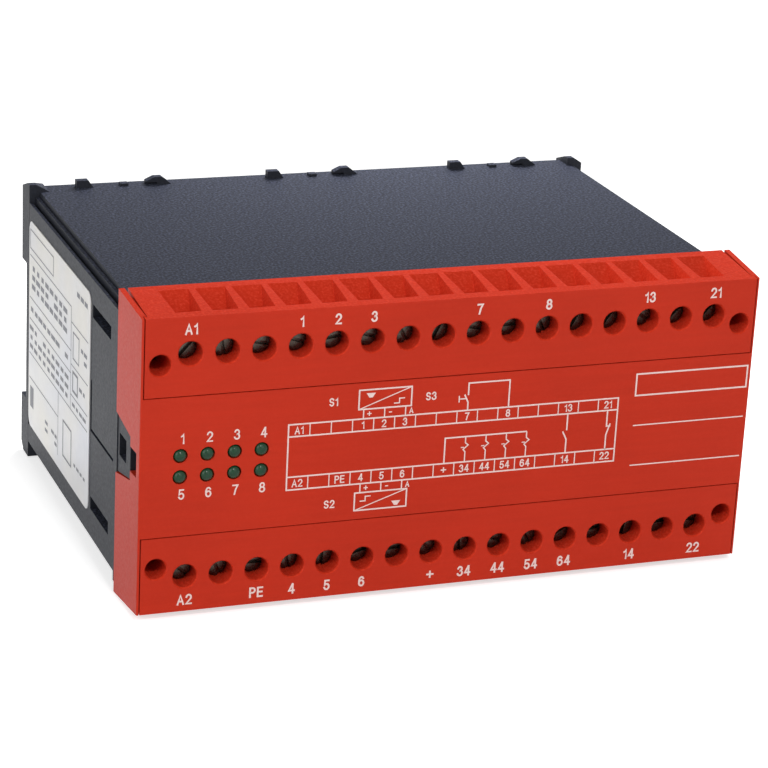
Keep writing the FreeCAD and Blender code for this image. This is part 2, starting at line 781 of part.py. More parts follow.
def latch_guide(body, centre):
    """The passage that a rail latch slides in, its stop, and a slot in front for a screwdriver."""
    half = dim.latch_width / 2 + dim.gap
    front = seat + dim.gap * 2
    back = front + dim.latch_wall + 2 * dim.gap
    room = rectangle(centre - half, centre + half, front, back)
    pocket(body, "top", -1, dim.foot_height + 2, polygons=[room])
    access = rectangle(centre - dim.rib, centre + dim.rib, -1, dim.window_low)
    pocket(body, "front", back_front - 1, seat - back_front + 2, polygons=[access])
    post_half = dim.latch_window / 2 - dim.gap
    post = rectangle(centre - post_half, centre + post_half, dim.window_low + dim.gap, dim.post_top)
    pad(body, "front", front - 0.1, back - front + 0.2, polygons=[post])


def side_plate(side, label):
    """A side plate with its latch arm, whose tongue snaps into the hood's wing."""
    body = new_body(label)

    def skin(outer, inner, points):
        near, far = sorted((side * outer, side * inner), key=lambda length: length.value)
        return pad(body, "side", near, far - near, polygons=[points])

    low = dim.floor_rise
    plate_back = back_front - dim.gap
    plate_front = dim.hood_depth + dim.rib + dim.gap
    neck_half = dim.tongue_root / 2
    skin(side_out, plate_in, rectangle(plate_front, plate_back, low, plate_top))
    lip_out = plate_in + dim.groove + 0.1
    inner_low = height(-1, block_low - 1)
    inner_high = height(1, block_low - 1)
    lip = rectangle(plate_front - 1, plate_back, plate_top - dim.rib, plate_top + dim.lip_rise)
    skin(lip_out, plate_in, lip)
    skin(side_out, plate_in, rectangle(dim.hood_depth + dim.gap, plate_front, low, plate_top))
    front_lip = rectangle(dim.display_front, plate_front, inner_low, inner_high)
    skin(hood_front_inner - dim.gap, plate_in, front_lip)
    tongue = [
        (plate_front, dim.tongue_mid + neck_half),
        (dim.hood_depth, dim.tongue_mid + neck_half),
        (dim.tongue_tip, dim.tongue_mid + dim.tongue_end / 2),
        (dim.tongue_tip, dim.tongue_mid - dim.tongue_end / 2),
        (dim.hood_depth, dim.tongue_mid - neck_half),
        (plate_front, dim.tongue_mid - neck_half),
    ]
    skin(side_out - dim.gap, plate_in, tongue)
    start = -side_out - 1 if side < 0 else plate_in - 1
    through = dim.plate_wall + 2
    groove_in = plate_in + dim.groove + 0.1
    top = plate_top + dim.lip_rise + 1
    channel = rectangle(
        *sorted((side * groove_in, side * (groove_in + dim.groove)), key=lambda length: length.value),
        plate_top - dim.groove_deep,
        top,
    )
    pocket(body, "front", plate_front - 1, dim.depth, polygons=[channel])
    window = rectangle(
        dim.window_front,
        dim.window_front + dim.window_long,
        dim.tongue_mid - dim.window_high / 2,
        dim.tongue_mid + dim.window_high / 2,
    )
    slots = []
    for sign in (1, -1):
        centre = middle + sign * dim.side_slot_out
        half = dim.side_slot_high / 2
        reach = (dim.side_slot_front, dim.side_slot_front + dim.side_slot_long)
        slots.append(rectangle(*reach, centre - half, centre + half))
    slit = [
        (dim.slit_front, dim.slit_low - dim.slit / 2),
        (dim.slit_back + dim.slit, dim.slit_low - dim.slit / 2),
        (dim.slit_back + dim.slit, dim.slit_low + dim.slit_rise),
        (dim.slit_back, dim.slit_low + dim.slit_rise),
        (dim.slit_back, dim.slit_low + dim.slit / 2),
        (dim.slit_front, dim.slit_low + dim.slit / 2),
    ]
    pocket(body, "side", start, through, polygons=[window, *slots, slit])
    notches = [
        rectangle(plate_back - 1, plate_back + 1, bottom, bottom + dim.side_slot_high)
        for bottom in (dim.foot_height - 6, channel_top + 6.6)
    ]
    pocket(body, "side", start, through, polygons=notches)
    return finish(body, label)


# ---------------------------------------------------------------- lamps, boards and what they carry


def lamp_places():
    """Left to right and top to bottom."""
    places = []
    for step in (1, -1):
        for column in range(LAMP_COLUMNS):
            x = dim.led_step * column - dim.led_left
            places.append((x, middle + dim.led_rise + step * dim.led_rows / 2))
    return places


def status_lamp(number, x, z):
    """A round lamp with a flange, standing on the display board."""
    barrel = rod("y", (x, z), dim.led, dim.led_sink, dim.display_front - 1, LAMP_SIDES)
    flange = rod("y", (x, z), dim.led_flange, dim.display_front - 1, dim.display_front, HEAD_SIDES)
    return finish(fuse(barrel, flange), f"status_lamp_{number}")


def boards():
    """The display board behind the hood and the two long boards above and below."""
    edge = block_low - 1
    display = box(
        (-dim.board_half, dim.board_half),
        (dim.display_front, dim.display_front + dim.board),
        (height(-1, edge), height(1, edge)),
    )
    finish(display, "display_board")
    for side, label in ((1, "upper_board"), (-1, "lower_board")):
        level = span(side, dim.header_low - dim.board, dim.header_low)
        long_board = box((-dim.board_half, dim.board_half), (dim.shell_front + 1, board_back), level)
        finish(long_board, label)
    inner = dim.header_low - dim.board
    bridge = box((-60, 60), (link_front, link_front + dim.board), span(1, -inner, inner))
    finish(bridge, "link_board")


def relays():
    """Four flat relays with guided contacts, side by side on the lower board."""
    floor = height(-1, dim.header_low - dim.board)
    for number in range(RELAYS):
        centre = 35 * (number - (RELAYS - 1) / 2)
        case = new_body(f"relay_{number + 1}")
        low, high = size(centre - 14.5), size(centre + 14.5)
        outline = rectangle(low, high, dim.relay_front, relay_back)
        pad(case, "top", floor, 25.5, polygons=[outline])
        vent = [rectangle(centre - 5, centre + 5, 33, 36)]
        pocket(case, "top", floor + 25.5, 0.6, along=-1, polygons=vent)
        finish(case, f"contact_relay_{number + 1}")


def supply():
    """The mains part: a transformer, two smoothing capacitors and a fuse."""
    floor = height(-1, dim.header_low - dim.board)
    x, y = -42, (relay_back + link_front) / 2
    stack = box((x - 22, x + 22), (y - 9, y + 9), (floor, floor + 36))
    windows = [
        box((x + 8 * sign - 4, x + 8 * sign + 4), (y - 10, y + 10), (floor + 7, floor + 29))
        for sign in (-1.5, 1.5)
    ]
    finish(cut(stack, *windows), "transformer_core")
    coil = box((x - 15.6, x + 15.6), (y - 17, y + 17), (floor + 7.4, floor + 28.6))
    limb = box((x - 8.2, x + 8.2), (y - 9.2, y + 9.2), (floor + 6, floor + 30))
    finish(cut(coil, limb), "transformer_winding")
    for number, place in enumerate((8, 30), start=1):
        can = rod("z", (place, 60), 16, floor, floor + 31, sides=24)
        finish(can, f"smoothing_capacitor_{number}")
    glass = rod("y", (52, floor + 5), 4.6, 56, 70, sides=12)
    caps = [rod("y", (52, floor + 5), 5.2, low, low + 5, sides=12) for low in (51, 70)]
    clips = [box((50, 54), (low + 1, low + 4), (floor, floor + 4)) for low in (51, 70)]
    finish(fuse(glass, *caps, *clips), "mains_fuse")


def processors():
    """The two controllers that watch each other, on the upper board."""
    floor = height(1, dim.header_low)
    for number, x in enumerate((-26, 26), start=1):
        chip = box((x - 8, x + 8), (46, 62), (floor, floor + 2))
        mark = rod("z", (x - 8, 62), 2.4, floor + 1.6, floor + 3, sides=4)
        finish(cut(chip, mark), f"controller_chip_{number}")


# ---------------------------------------------------------------- rail latches and label


def rail_latch(number, label):
    """A flat sliding latch: its nose holds the rail's lower edge."""
    body = new_body(label)
    centre = dim.module * number
    front = seat + dim.gap * 3
    back = front + dim.latch_wall
    shoulder = dim.foot_height - dim.gap
    tip = channel_top - dim.rail_width + dim.hook_reach
    profile = [
        (front, dim.latch_low),
        (back, dim.latch_low),
        (back, shoulder + 0.3),
        (hook_front + dim.gap + 0.5, tip),
        (hook_front + dim.gap, tip),
        (hook_front + dim.gap, shoulder),
        (front, shoulder),
    ]
    pad(body, "side", centre - dim.latch_width / 2, dim.latch_width, polygons=[profile])
    half = dim.latch_window / 2
    window = rectangle(centre - half, centre + half, dim.window_low, dim.window_top)
    pocket(body, "front", front - 1, dim.latch_wall + 2, polygons=[window])
    pull = rectangle(centre - 2.5, centre + 2.5, dim.latch_low + 0.8, dim.window_low - 0.8)
    pocket(body, "front", front - 1, dim.latch_wall + 2, polygons=[pull])
    return finish(body, label)


def latch_spring(number, label):
    """A bent leaf that stands on the post and pushes the latch up."""
    centre = dim.module * number
    body = new_body(label)
    low = dim.post_top + dim.spring_play
    high = dim.window_top - dim.spring_play
    leaf = dim.spring_leaf
    bends = 4
    step = (high - low - leaf) / bends
    outer = dim.latch_window / 2 - dim.gap
    half = outer * step / (step + leaf)
    inner = half * (step - leaf) / step
    right, left = [(centre - half, low)], [(centre - half, low + leaf)]
    for turn in range(1, bends):
        level = low + leaf / 2 + step * turn
        sign = 1 if turn % 2 else -1
        right.append((centre + (outer if sign > 0 else -inner), level))
        left.append((centre + (inner if sign > 0 else -outer), level))
    right.append((centre - half, high))
    left.append((centre - half, high - leaf))
    front = seat + dim.gap * 3 + 0.5
    pad(body, "front", front, dim.latch_wall - 1, polygons=[right + left[::-1]])
    return finish(body, label)


def rating_label():
    """The blank label on the left side plate."""
    body = new_body("label")
    low = middle + 0.25 - dim.label_high / 2
    outline = rectangle(dim.label_front, back_front - dim.label_margin, low, low + dim.label_high)
    start = -side_out - dim.label_thick
    sheet = pad(body, "side", start, dim.label_thick, polygons=[outline])
    doc.recompute()
    corners = body.newObject("PartDesign::Fillet", "corners")
    corners.Base = (sheet, edges(sheet, lambda e: e.BoundBox.YLength + e.BoundBox.ZLength < 0.001))
    bind(corners, "Radius", dim.label_round)
    return finish(body, "rating_label")


# ---------------------------------------------------------------- build and export


def build():
    hood()
    for side, name in ((1, "upper"), (-1, "lower")):
        terminal_block(side, f"terminal_block_{name}")
        terminal_screws(side, f"terminal_screws_{name}")
        clamp_cages(side, f"clamp_cages_{name}")
        header(side, f"header_{name}")
        contact_pins(side, f"contact_pins_{name}")
    fixing_screws()
    housing()
    side_plate(-1, "side_plate_left")
    side_plate(1, "side_plate_right")
    for number, (x, z) in enumerate(lamp_places(), start=1):
        status_lamp(number, x, z)
    boards()
    relays()
    supply()
    processors()
    for number, place in zip(MODULES, ("left", "middle", "right")):
        rail_latch(number, f"rail_latch_{place}")
        latch_spring(number, f"latch_spring_{place}")
    rating_label()


def check():
    """Stops if a feature failed or a piece isn't a sound solid."""
    doc.recompute()
    for thing in doc.Objects:
        if {"Invalid", "Error"} & set(thing.State):
            raise RuntimeError(f"{thing.Name} ({thing.Label}) failed: {thing.State}")
    for piece in finished:
        if piece.Shape.isNull() or not piece.Shape.isValid() or not piece.Shape.Solids:
            raise RuntimeError(f"{piece.Label} has no sound shape")


def export():
    os.makedirs("parts", exist_ok=True)
    for piece in finished:
        piece.Shape.exportStep(os.path.join("parts", piece.Label + ".step"))


build()
check()
export()
print(f"{len(finished)} pieces written")
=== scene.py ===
"""Looks of a safety relay in a 150 mm wide housing for a mounting rail.

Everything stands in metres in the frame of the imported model: X runs across the front from left
to right, Y from the front to the rail and Z up. Sizes inside the functions are in millimetres.
"""

import math

import bmesh
import bpy
from bpy.props import FloatProperty, FloatVectorProperty, IntProperty, PointerProperty
from mathutils import Matrix, Vector


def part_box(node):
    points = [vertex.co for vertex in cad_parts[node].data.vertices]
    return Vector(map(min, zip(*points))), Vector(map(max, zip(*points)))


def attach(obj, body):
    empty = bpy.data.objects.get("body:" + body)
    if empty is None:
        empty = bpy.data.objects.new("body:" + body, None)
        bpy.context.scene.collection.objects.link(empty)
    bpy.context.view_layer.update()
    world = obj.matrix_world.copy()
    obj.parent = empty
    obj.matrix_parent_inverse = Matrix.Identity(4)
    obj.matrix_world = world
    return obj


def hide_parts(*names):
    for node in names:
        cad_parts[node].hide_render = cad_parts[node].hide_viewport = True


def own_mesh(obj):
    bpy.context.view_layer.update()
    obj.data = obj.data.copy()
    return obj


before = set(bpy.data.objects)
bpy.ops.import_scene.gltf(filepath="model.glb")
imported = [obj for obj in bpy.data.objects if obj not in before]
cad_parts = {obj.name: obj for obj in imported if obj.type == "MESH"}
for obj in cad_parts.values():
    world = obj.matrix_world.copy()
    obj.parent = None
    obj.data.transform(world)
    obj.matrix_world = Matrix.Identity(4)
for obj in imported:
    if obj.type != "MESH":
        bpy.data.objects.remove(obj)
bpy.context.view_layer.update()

bl_info = {
    "name": "Safety relay looks",
    "version": (1, 0, 0),
    "blender": (4, 5, 0),
    "location": "View3D > Sidebar > Relay",
    "description": "Finishes, print, screws, lamps and studio for a safety relay in a rail housing",
    "category": "Object",
}

MM = 0.001
BODY = "relay"
FLOOR_GAP = 0.2
TERMINALS = 16
PITCH = 8.44
SCREW_SHANK = 2.5
CLAMP_HEAD_HIGH = 1.8
FIXING_HEAD, FIXING_HEAD_HIGH = 4.4, 2.0
FIXING_SLOT, FIXING_SLOT_SINK = 0.8, 0.9
LENS, LENS_FLANGE = 3.0, 3.8
LENS_RIM, LENS_STEP, LENS_BACK = 0.4, 4.8, 5.8
LENS_INSET = 0.25


# ---------------- small helpers


def linear(code):
    """Linear RGBA of an sRGB hex colour."""
    parts = [int(code[place:place + 2], 16) / 255 for place in (0, 2, 4)]
    return tuple(part / 12.92 if part <= 0.04045 else ((part + 0.055) / 1.055) ** 2.4 for part in parts) + (1.0,)


def opaque(colour):
    """A user's colour with full alpha."""
    return tuple(colour)[:3] + (1.0,)


def add(tree, kind, inputs=None, **settings):
    """Adds one node with its settings. Each input is a plain value or another node's output."""
    made = tree.nodes.new(kind)
    for name, value in settings.items():
        setattr(made, name, value)
    for key, value in (inputs or {}).items():
        if isinstance(value, bpy.types.NodeSocket):
            tree.links.new(value, made.inputs[key])
        else:
            made.inputs[key].default_value = value
    return made


def keep(made, slot, *nodes, body=BODY):
    """A finished piece rides on its body and stands for its CAD nodes."""
    if not made.data.polygons:
        raise RuntimeError(f"{made.name} came out empty")
    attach(made, body)
    if nodes:
        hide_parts(*nodes)
    return made


def solid_object(name, mesh):
    """A new object at the origin that holds a mesh."""
    made = bpy.data.objects.new(name, mesh)
    bpy.context.scene.collection.objects.link(made)
    return made


def settled(shape, name, *finishes):
    """Turns a bmesh into a mesh with its materials, and frees it."""
    mesh = bpy.data.meshes.new(name)
    shape.to_mesh(mesh)
    shape.free()
    for finish in finishes:
        mesh.materials.append(finish)
    return mesh


def applied(made):
    """Bakes an object's modifiers into a mesh of its own."""
    graph = bpy.context.evaluated_depsgraph_get()
    mesh = bpy.data.meshes.new_from_object(made.evaluated_get(graph))
    made.modifiers.clear()
    made.data = mesh
    return mesh


def dress(nodes, material):
    """Gives CAD nodes their material."""
    for name in nodes:
        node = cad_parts.get(name)
        if node is None:
            raise RuntimeError(f"the model has no node {name}")
        if not node.data.materials:
            node.data.materials.append(material)
        for place in node.material_slots:
            place.material = material


# ---------------- finishes


def emptied(owner):
    """The cleared node tree of a material or a world."""
    owner.use_nodes = True
    owner.node_tree.nodes.clear()
    return owner.node_tree


def new_finish(name):
    """A new material, its tree, its shader and its pattern coordinates."""
    made = bpy.data.materials.new(name)
    tree = emptied(made)
    shader = add(tree, "ShaderNodeBsdfPrincipled")
    add(tree, "ShaderNodeOutputMaterial", {"Surface": shader.outputs["BSDF"]})
    return made, tree, shader, add(tree, "ShaderNodeTexCoord").outputs["Object"]


def grain(tree, place, size, detail=3.0, low=0.0, high=1.0):
    """Noise with grains of a size in millimetres, spread between two values."""
    noise = add(
        tree,
        "ShaderNodeTexNoise",
        {"Vector": place, "Scale": 1 / (size * MM), "Detail": detail, "Roughness": 0.6},
    )
    return ranged(tree, noise.outputs[0], 0.3, 0.7, low, high)


def reckoned(tree, operation, *values):
    """The result of a sum on plain values or other nodes' outputs."""
    return add(tree, "ShaderNodeMath", dict(enumerate(values)), operation=operation).outputs[0]


def ranged(tree, value, start, end, low, high):
    """A value between start and end, carried over to low and high."""
    spread = {"Value": value, "From Min": start, "From Max": end, "To Min": low, "To Max": high}
    return add(tree, "ShaderNodeMapRange", spread).outputs[0]


def blended(tree, share, first, second):
    """Two colours mixed by a share of the second."""
    return add(tree, "ShaderNodeMix", {0: share, 6: first, 7: second}, data_type="RGBA").outputs[2]


def tinted(tree, colour, value):
    """A colour made lighter and darker by a value around one."""
    return add(tree, "ShaderNodeHueSaturation", {"Value": value, "Color": colour}).outputs[0]


def relief(tree, height, depth, strength):
    """A bump of a depth in millimetres."""
    return add(tree, "ShaderNodeBump", {"Height": height, "Distance": depth * MM, "Strength": strength}).outputs[0]


def coat(tree, shader, base, rough, bump=None, ior=1.5):
    """Joins a finish's colour, roughness and relief to its shader."""
    tree.links.new(base, shader.inputs["Base Color"])
    tree.links.new(rough, shader.inputs["Roughness"])
    if bump:
        tree.links.new(bump, shader.inputs["Normal"])
    shader.inputs["IOR"].default_value = ior


def stripes(tree, place, width, distortion, direction, profile):
    """Even bands of a width in millimetres across an axis."""
    return add(
        tree,
        "ShaderNodeTexWave",
        {"Vector": place, "Scale": 2 / (math.tau * width * MM), "Distortion": distortion, "Detail": 1.0},
        wave_type="BANDS",
        bands_direction=direction,
        wave_profile=profile,
    ).outputs[1]


def spark_eroded(name, colour, painted_glint, matt, depth, drag):
    """Moulded plastic from a mould that is spark-eroded above and below, and polished all round.

    The mould's craters are 0.1 to 0.2 mm across and would not show, so they are drawn at 0.6 mm.
    On the eroded faces they are painted highlights: a lighter colour is mixed into the base
    colour as fine specks of painted glint; faint streaks of the melt's flow, a millimetre
    apart and drawn out by a share, run across the polished ones.
    """
    made, tree, shader, place = new_finish(name)
    normal = add(tree, "ShaderNodeNewGeometry").outputs["Normal"]
    facing = add(tree, "ShaderNodeSeparateXYZ", {0: normal}).outputs["Z"]
    level = reckoned(tree, "ABSOLUTE", facing)
    eroded = ranged(tree, level, 0.05, 0.4, 0.1, 0.75)
    flow = add(tree, "ShaderNodeMapping", {"Vector": place, "Scale": drag}).outputs[0]
    streak = grain(tree, flow, 1.1, detail=4.0, low=0.965, high=1.03)
    cloud = grain(tree, place, 30, low=0.96, high=1.04)
    value = reckoned(tree, "MULTIPLY", cloud, streak)
    craters = grain(tree, place, 0.6, detail=2.0)
    painted_glint_share = reckoned(tree, "MULTIPLY", reckoned(tree, "POWER", craters, 2.0), eroded)
    # painted highlight: the glint colour is mixed into the base colour over the craters on the eroded faces
    skin = blended(tree, painted_glint_share, tinted(tree, colour, value), painted_glint)
    rough = grain(tree, place, 0.7, low=matt - 0.05, high=matt + 0.08)
    bump = reckoned(tree, "MULTIPLY", craters, eroded)
    coat(tree, shader, skin, rough, relief(tree, bump, depth, 0.7), 1.53)
    gloss = ranged(tree, level, 0.05, 0.4, 0.12, 0.02)
    tree.links.new(gloss, shader.inputs["Specular IOR Level"])
    return made


def red_polyamide(colours):
    """Signal-red glass-filled polyamide: even, saturated, with a soft satin gloss."""
    # The second colour is a painted highlight, mixed into the base colour as specks of glint on the eroded faces.
    return spark_eroded(
        "red_polyamide_moulded", opaque(colours.red), linear("D9442F"), 0.42, 0.05, (0.07, 1.0, 1.0)
    )


def grey_polyamide(colours):
    """Charcoal polyamide: cooler and rougher, so that flat light turns it to a mid grey."""
    # The second colour is a painted highlight, mixed into the base colour as specks of glint on the eroded faces.
    return spark_eroded(
        "charcoal_polyamide_moulded", opaque(colours.grey), linear("53576A"), 0.5, 0.07, (1.0, 0.1, 1.0)
    )


def black_acetal(colours):
    """Black acetal for parts that slide: smoother than the housing, with a waxy gloss."""
    made, tree, shader, place = new_finish("black_acetal_moulded")
    base = tinted(tree, opaque(colours.black), grain(tree, place, 6, low=0.9, high=1.12))
    rough = grain(tree, place, 0.6, low=0.28, high=0.4)
    coat(tree, shader, base, rough, relief(tree, grain(tree, place, 0.8), 0.01, 0.5), 1.48)
    return made


def plated_metal(name, code, dull, scratch):
    """Plated metal: a bright mirror broken by plating grain and by fine drawn scratches.

    Drawing lines are 0.02 mm wide and are drawn at 0.15 mm.
    """
    made, tree, shader, place = new_finish(name)
    shader.inputs["Metallic"].default_value = 1.0
    stretched = add(tree, "ShaderNodeMapping", {"Vector": place, "Scale": (1.0, 0.12, 1.0)}).outputs[0]
    lines = grain(tree, stretched, 0.15, detail=2.0)
    stain = grain(tree, place, 2.5, low=0.86, high=1.08)
    rough = grain(tree, place, 0.8, low=dull - 0.08, high=dull + 0.12)
    coat(tree, shader, tinted(tree, linear(code), stain), rough, relief(tree, lines, scratch, 0.5))
    return made


def printing_ink(name, colour):
    """Pad-printed ink: a matt film that lets a little of its ground through where it is thin."""
    made, tree, shader, place = new_finish(name)
    film = grain(tree, place, 1.2, detail=4.0, low=0.93, high=1.03)
    coat(tree, shader, tinted(tree, colour, film), grain(tree, place, 0.6, low=0.5, high=0.65), ior=1.45)
    return made


def label_film(colours):
    """White polyester label film: smooth, a little glossy, slightly yellowed in patches."""
    made, tree, shader, place = new_finish("label_polyester_film")
    patches = grain(tree, place, 22, detail=1.0, low=0.0, high=0.55)
    yellowed = blended(tree, patches, opaque(colours.label), linear("E6DFCB"))
    film = tinted(tree, yellowed, grain(tree, place, 9, low=0.97, high=1.02))
    waves = relief(tree, grain(tree, place, 5, detail=1.0), 0.03, 0.4)
    coat(tree, shader, film, grain(tree, place, 1.5, low=0.3, high=0.42), waves)
    return made


def tinted_acrylic(colours):
    """Dark green acrylic lens: the mould's polish gives one hard highlight, the tint swallows the rest."""
    made, tree, shader, place = new_finish("tinted_acrylic_lens")
    body = tinted(tree, opaque(colours.lens), grain(tree, place, 1.4, low=0.7, high=1.3))
    coat(tree, shader, body, grain(tree, place, 0.8, low=0.12, high=0.2), ior=1.49)
    shader.inputs["Specular IOR Level"].default_value = 0.3
    return made


def circuit_board(colours):
    """Glass-epoxy board under green solder mask: glossy, with raised tracks in a 2.5 mm raster."""
    made, tree, shader, place = new_finish("glass_epoxy_green_mask")
    raster = {"Vector": place, "Scale": 1 / (2.54 * MM)}
    tracks = add(tree, "ShaderNodeTexVoronoi", raster, distance="MANHATTAN", feature="F1").outputs[0]
    edge = ranged(tree, tracks, 0.45, 0.5, 0.0, 1.0)
    mask = blended(tree, edge, linear("1C5A3A"), linear("2C7A4C"))
    base = tinted(tree, mask, grain(tree, place, 12, low=0.9, high=1.08))
    coat(tree, shader, base, grain(tree, place, 2, low=0.2, high=0.32), relief(tree, edge, 0.035, 0.6), 1.55)
    return made


def plain_moulding(name, code, dull, size):
    """A small bought-in part's moulded or potted case: matt, with fine grain and a faint mottle."""
    made, tree, shader, place = new_finish(name)
    base = tinted(tree, linear(code), grain(tree, place, size, low=0.88, high=1.1))
    rough = grain(tree, place, 0.7, low=dull - 0.05, high=dull + 0.08)
    coat(tree, shader, base, rough, relief(tree, grain(tree, place, 0.5), 0.02, 0.5))
    return made


def wound_tape(colours):
    """Polyester tape round a coil: glossy bands, one every 4 mm, where each turn laps the last."""
    made, tree, shader, place = new_finish("wound_polyester_tape")
    bands = stripes(tree, place, 4, 0.6, "Z", "SAW")
    shade = ranged(tree, bands, 0.0, 1.0, 0.85, 1.1)
    rough = grain(tree, place, 1.5, low=0.2, high=0.34)
    coat(tree, shader, tinted(tree, linear("B58A2E"), shade), rough, relief(tree, bands, 0.06, 0.8))
    return made


def laminated_iron(colours):
    """A stack of 0.5 mm core sheets, lacquered: fine dark and bright lines, drawn at 1 mm."""
    made, tree, shader, place = new_finish("laminated_core_iron")
    shader.inputs["Metallic"].default_value = 1.0
    sheets = stripes(tree, place, 1, 0.3, "Y", "SIN")
    shade = ranged(tree, sheets, 0.0, 1.0, 0.6, 1.1)
    rough = grain(tree, place, 2, low=0.4, high=0.6)
    coat(tree, shader, tinted(tree, linear("6E7074"), shade), rough, relief(tree, sheets, 0.05, 0.7))
    return made


# ---------------- repeated pieces


def socket_list(tree, rows):
    """Declares a tree's named inputs and its one output, and returns its input node."""
    for name, kind, value in rows:
        made = tree.interface.new_socket(name=name, in_out="INPUT", socket_type="NodeSocket" + kind)
        if value is not None:
            made.default_value = value
    tree.interface.new_socket(name="Geometry", in_out="OUTPUT", socket_type="NodeSocketGeometry")
    return add(tree, "NodeGroupInput").outputs


def grown(name, tree, values):
    """Runs a tree with the given inputs and keeps its result as a plain mesh."""
    made = solid_object(name, bpy.data.meshes.new(name + "_seed"))
    modifier = made.modifiers.new(tree.name, "NODES")
    modifier.node_group = tree
    known = {item.name: item.identifier for item in tree.interface.items_tree if item.in_out == "INPUT"}
    for label, value in values.items():
        modifier[known[label]] = value
    applied(made).name = name
    return made


def spaced(name, tree, piece, counts, steps, centre, finish, seed=0, turn=0.0):
    """Copies of a piece in columns and rows."""
    grid = {"Columns": counts[0], "Rows": counts[1], "Column Step": steps[0], "Row Step": steps[1], "Centre": centre}
    return grown(name, tree, {"Piece": piece, **grid, "Most Turn": turn, "Seed": seed, "Finish": finish})


def grid_points(tree, given):
    """A flat grid of points, from a tree's columns, rows and their steps."""
    spans = []
    for count, step in (("Columns", "Column Step"), ("Rows", "Row Step")):
        gaps = reckoned(tree, "SUBTRACT", given[count], 1.0)
        spans.append(reckoned(tree, "MULTIPLY", gaps, given[step]))
    counts = {"Vertices X": given["Columns"], "Vertices Y": given["Rows"]}
    return add(tree, "GeometryNodeMeshGrid", {"Size X": spans[0], "Size Y": spans[1], **counts}).outputs[0]


def finished_copies(tree, given, inputs):
    """Ends a tree with copies on its points, made real and given its finish."""
    copies = add(tree, "GeometryNodeInstanceOnPoints", inputs).outputs[0]
    real = add(tree, "GeometryNodeRealizeInstances", {"Geometry": copies}).outputs[0]
    made = add(tree, "GeometryNodeSetMaterial", {"Geometry": real, "Material": given["Finish"]}).outputs[0]
    add(tree, "NodeGroupOutput", {"Geometry": made})
    return tree


def chance(tree, given, kind, output, inputs):
    """A value by chance for each copy, from a tree's seed."""
    return add(tree, "FunctionNodeRandomValue", {**inputs, "Seed": given["Seed"]}, data_type=kind).outputs[output]


def spaced_rows_tree():
    """Copies of a piece on an upright grid, each turned about its own axis by chance."""
    tree = bpy.data.node_groups.new("spaced_rows", "GeometryNodeTree")
    given = socket_list(tree, (
        ("Piece", "Object", None),
        ("Columns", "Int", TERMINALS),
        ("Rows", "Int", 2),
        ("Column Step", "Float", PITCH * MM),
        ("Row Step", "Float", 0.0528),
        ("Centre", "Vector", None),
        ("Most Turn", "Float", 0.0),
        ("Seed", "Int", 0),
        ("Finish", "Material", None),
    ))
    place = {"Translation": given["Centre"], "Rotation": (math.pi / 2, 0.0, 0.0)}
    turn = chance(tree, given, "FLOAT", 1, {2: 0.0, 3: given["Most Turn"]})
    about = add(tree, "ShaderNodeCombineXYZ", {"Y": turn}).outputs[0]
    return finished_copies(tree, given, {
        "Points": add(tree, "GeometryNodeTransform", {"Geometry": grid_points(tree, given), **place}).outputs[0],
        "Instance": add(tree, "GeometryNodeObjectInfo", {"Object": given["Piece"]}).outputs["Geometry"],
        "Rotation": add(tree, "FunctionNodeEulerToRotation", {"Euler": about}).outputs[0],
    })


def print_rows_tree():
    """Rows of short bars of chance lengths in the XY plane, as print too small to read."""
    tree = bpy.data.node_groups.new("print_rows", "GeometryNodeTree")
    given = socket_list(tree, (
        ("Columns", "Int", 6),
        ("Rows", "Int", 3),
        ("Column Step", "Float", 0.005),
        ("Row Step", "Float", 0.0025),
        ("Bar Height", "Float", 0.0011),
        ("Centre", "Vector", None),
        ("Left Out", "Float", 0.2),
        ("Shortest", "Float", 0.45),
        ("Longest", "Float", 0.92),
        ("Seed", "Int", 0),
        ("Finish", "Material", None),
    ))
    place = {"Geometry": grid_points(tree, given), "Translation": given["Centre"]}
    gone = chance(tree, given, "BOOLEAN", 3, {"Probability": given["Left Out"]})
    size = {"Size X": given["Column Step"], "Size Y": given["Bar Height"], "Vertices X": 2, "Vertices Y": 2}
    share = chance(tree, given, "FLOAT", 1, {2: given["Shortest"], 3: given["Longest"]})
    return finished_copies(tree, given, {
        "Points": add(tree, "GeometryNodeTransform", place).outputs[0],
        "Selection": add(tree, "FunctionNodeBooleanMath", {0: gone}, operation="NOT").outputs[0],
        "Instance": add(tree, "GeometryNodeMeshGrid", size).outputs[0],
        "Scale": add(tree, "ShaderNodeCombineXYZ", {"X": share, "Y": 1.0, "Z": 1.0}).outputs[0],
    })


# ---------------- turned shapes


def turned(name, outline, sides, thread=None):
    """A closed shape turned about Y from (radius, y) points in millimetres, front end first.

    A thread is (first y, last y, pitch, depth): the skin sinks by the depth along a helix there.
    """
    shape = bmesh.new()
    rings = []
    for radius, y in outline:
        if radius == 0:
            rings.append([shape.verts.new((0, y, 0))])
            continue
        ring = []
        for side in range(sides):
            turn = math.tau * side / sides
            reach = radius
            if thread and thread[0] <= y <= thread[1]:
                along = (y / thread[2] + side / sides) % 1
                reach -= thread[3] * abs(2 * along - 1)
            ring.append(shape.verts.new((reach * math.cos(turn), y, reach * math.sin(turn))))
        rings.append(ring)
    for pair in zip(rings, rings[1:]):
        for side in range(sides):
            near, far = ([ring[place % len(ring)] for place in (side, (side + 1) % sides)] for ring in pair)
            shape.faces.new(tuple(dict.fromkeys((near[0], *far, near[1]))))
    bmesh.ops.recalc_face_normals(shape, faces=shape.faces)
    bmesh.ops.scale(shape, vec=(MM, MM, MM), verts=shape.verts)
    return solid_object(name, settled(shape, name))


